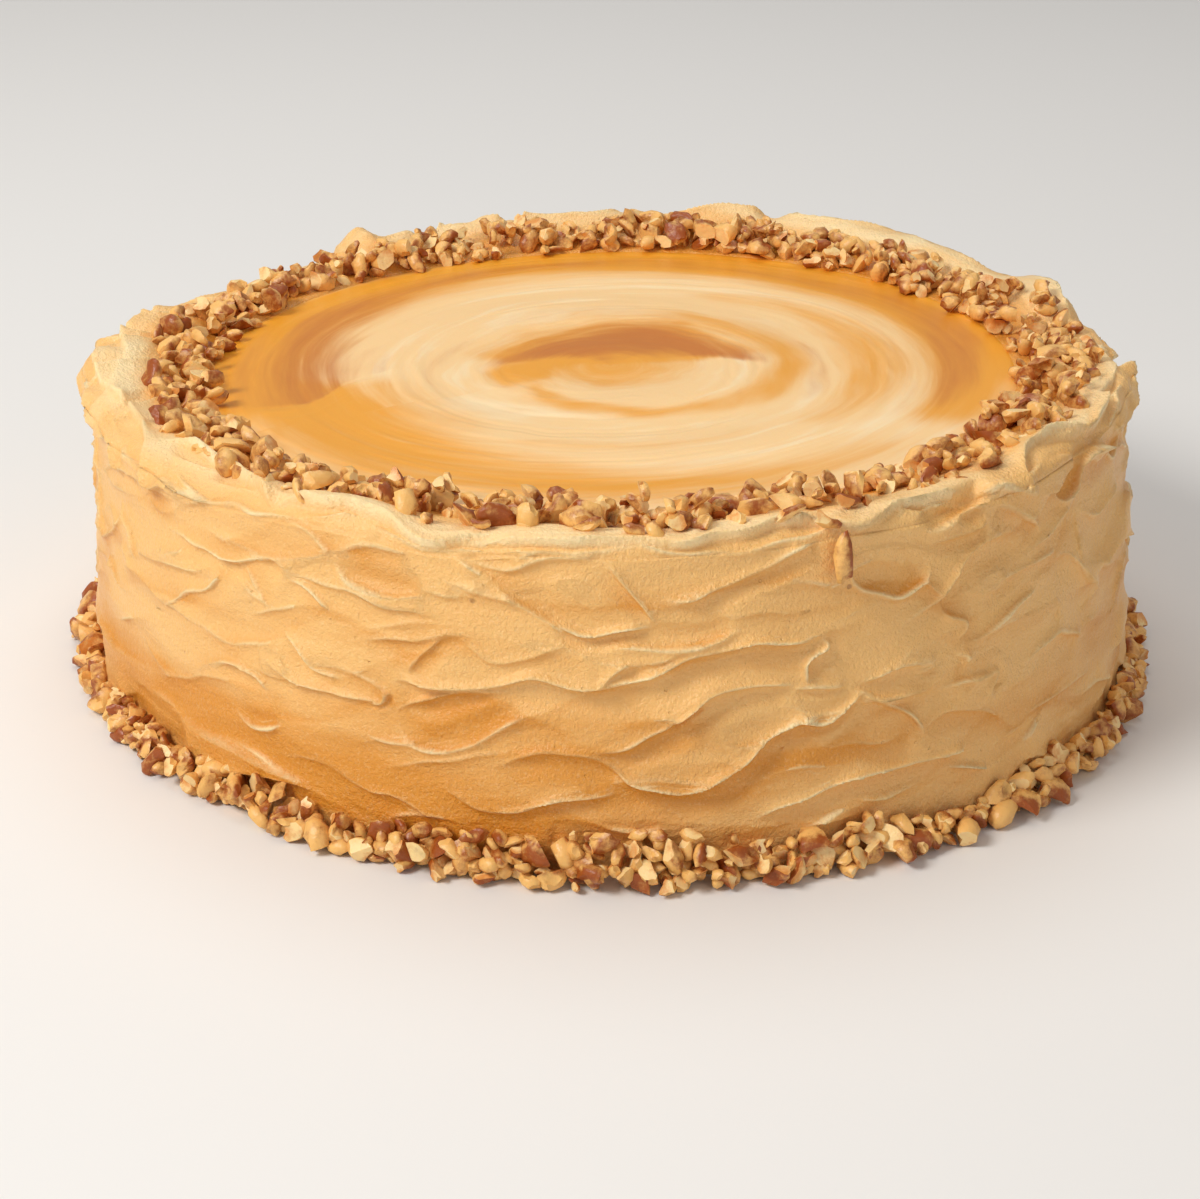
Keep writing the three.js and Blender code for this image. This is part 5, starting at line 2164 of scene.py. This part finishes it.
@dataclass(frozen=True)
class SoftBox:
    """An area light that looks at the cake."""

    name: str
    azimuth: float
    elevation: float
    distance: float
    size: float
    power: float
    colour: tuple[float, float, float] = (1.0, 1.0, 1.0)

    def place(self, target: Vector) -> None:
        """Sets the light up.

        Args:
            target: What it looks at, in metres.
        """
        a, e = math.radians(self.azimuth), math.radians(self.elevation)
        away = Vector((math.sin(a) * math.cos(e), -math.cos(a) * math.cos(e), math.sin(e)))
        light = bpy.data.lights.new(self.name, "AREA")
        light.shape = "DISK"
        light.size = self.size
        light.energy = self.power
        light.color = self.colour
        holder = bpy.data.objects.new(self.name, light)
        holder.location = target + away * self.distance
        holder.rotation_euler = away.to_track_quat("Z", "Y").to_euler()
        bpy.context.scene.collection.objects.link(holder)


@dataclass(frozen=True)
class Viewpoint:
    """The camera, where the photograph's stood."""

    distance: float = 632.33
    elevation: float = 24.737
    turn: float = 0.285
    tip: float = 0.523
    roll: float = -1.497
    focal_pixels: float = 2500.0
    frame_pixels: float = 1200.0
    sensor: float = 36.0

    def place(self) -> None:
        """Makes the camera and gives it to the scene."""
        e = math.radians(self.elevation)
        forward = Vector((0.0, math.cos(e), -math.sin(e)))
        right = Vector((1.0, 0.0, 0.0))
        up = right.cross(forward)
        turn = Matrix.Rotation(math.radians(self.turn), 3, up)
        forward, right = turn @ forward, turn @ right
        tip = Matrix.Rotation(math.radians(self.tip), 3, right)
        forward, up = tip @ forward, tip @ up
        roll = Matrix.Rotation(math.radians(self.roll), 3, forward)
        right, up = roll @ right, roll @ up
        data = bpy.data.cameras.new("camera")
        data.sensor_width = self.sensor
        data.lens = self.focal_pixels * self.sensor / self.frame_pixels
        camera = bpy.data.objects.new("camera", data)
        camera.matrix_world = Matrix((right, up, -forward)).transposed().to_4x4()
        camera.location = Vector((0.0, -math.cos(e), math.sin(e))) * self.distance * MM
        bpy.context.scene.collection.objects.link(camera)
        bpy.context.scene.camera = camera


@dataclass(frozen=True)
class Studio:
    """A plain pale floor and soft light, mostly from the upper left."""

    floor_size: float = 30.0
    floor_colour: Colour = (236, 234, 231)
    floor_gloss: Gloss = Gloss(roughness=0.7, subsurface=0.0, subsurface_scale=0.0, specular=0.2)
    sky: tuple[float, float, float, float] = (1.0, 0.985, 0.965, 1.0)
    sky_strength: float = 0.34
    target_height: float = 0.04
    boxes: tuple[SoftBox, ...] = (
        SoftBox("key", azimuth=-55, elevation=42, distance=1.5, size=0.6, power=15.0,
                colour=(1.0, 0.98, 0.95)),
        SoftBox("top", azimuth=190, elevation=68, distance=1.5, size=1.1, power=6.0),
        SoftBox("fill", azimuth=35, elevation=20, distance=1.8, size=1.2, power=3.0,
                colour=(1.0, 0.92, 0.9)),
    )

    def build(self) -> None:
        """Makes the floor, the lights and the world."""
        deselect()
        bpy.ops.mesh.primitive_plane_add(size=self.floor_size, location=(0.0, 0.0, 0.0))
        floor = bpy.context.object
        floor.name = "floor"
        material, bench = blank_material("floor_matte")
        shader = self.floor_gloss.shader(bench)
        shader.inputs["Base Color"].default_value = linear(self.floor_colour)
        floor.data.materials.append(material)
        target = Vector((0.0, 0.0, self.target_height))
        for box in self.boxes:
            box.place(target)
        world = bpy.data.worlds.new("studio")
        world.use_nodes = True
        background = world.node_tree.nodes["Background"]
        background.inputs["Color"].default_value = self.sky
        background.inputs["Strength"].default_value = self.sky_strength
        scene = bpy.context.scene
        scene.world = world
        scene.view_settings.view_transform = "Standard"


def main() -> None:
    """Builds the cake's pieces and the studio round it."""
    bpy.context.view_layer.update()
    form = CakeForm()
    chunks = NutChopper().chop()
    makers = (
        FrostedSide(form),
        MarbledTop(form),
        NutRing(form, RimBed(form), chunks, count=900, seed=31),
        NutRing(form, HeapBed(form), chunks, count=1250, seed=47),
    )
    for maker in makers:
        piece = maker.build()
        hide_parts("cake")
        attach(piece, "root")
        log.info("%s: %d faces", piece.name, len(piece.data.polygons))
    Studio().build()
    Viewpoint().place()


if __name__ == "__main__":
    main()
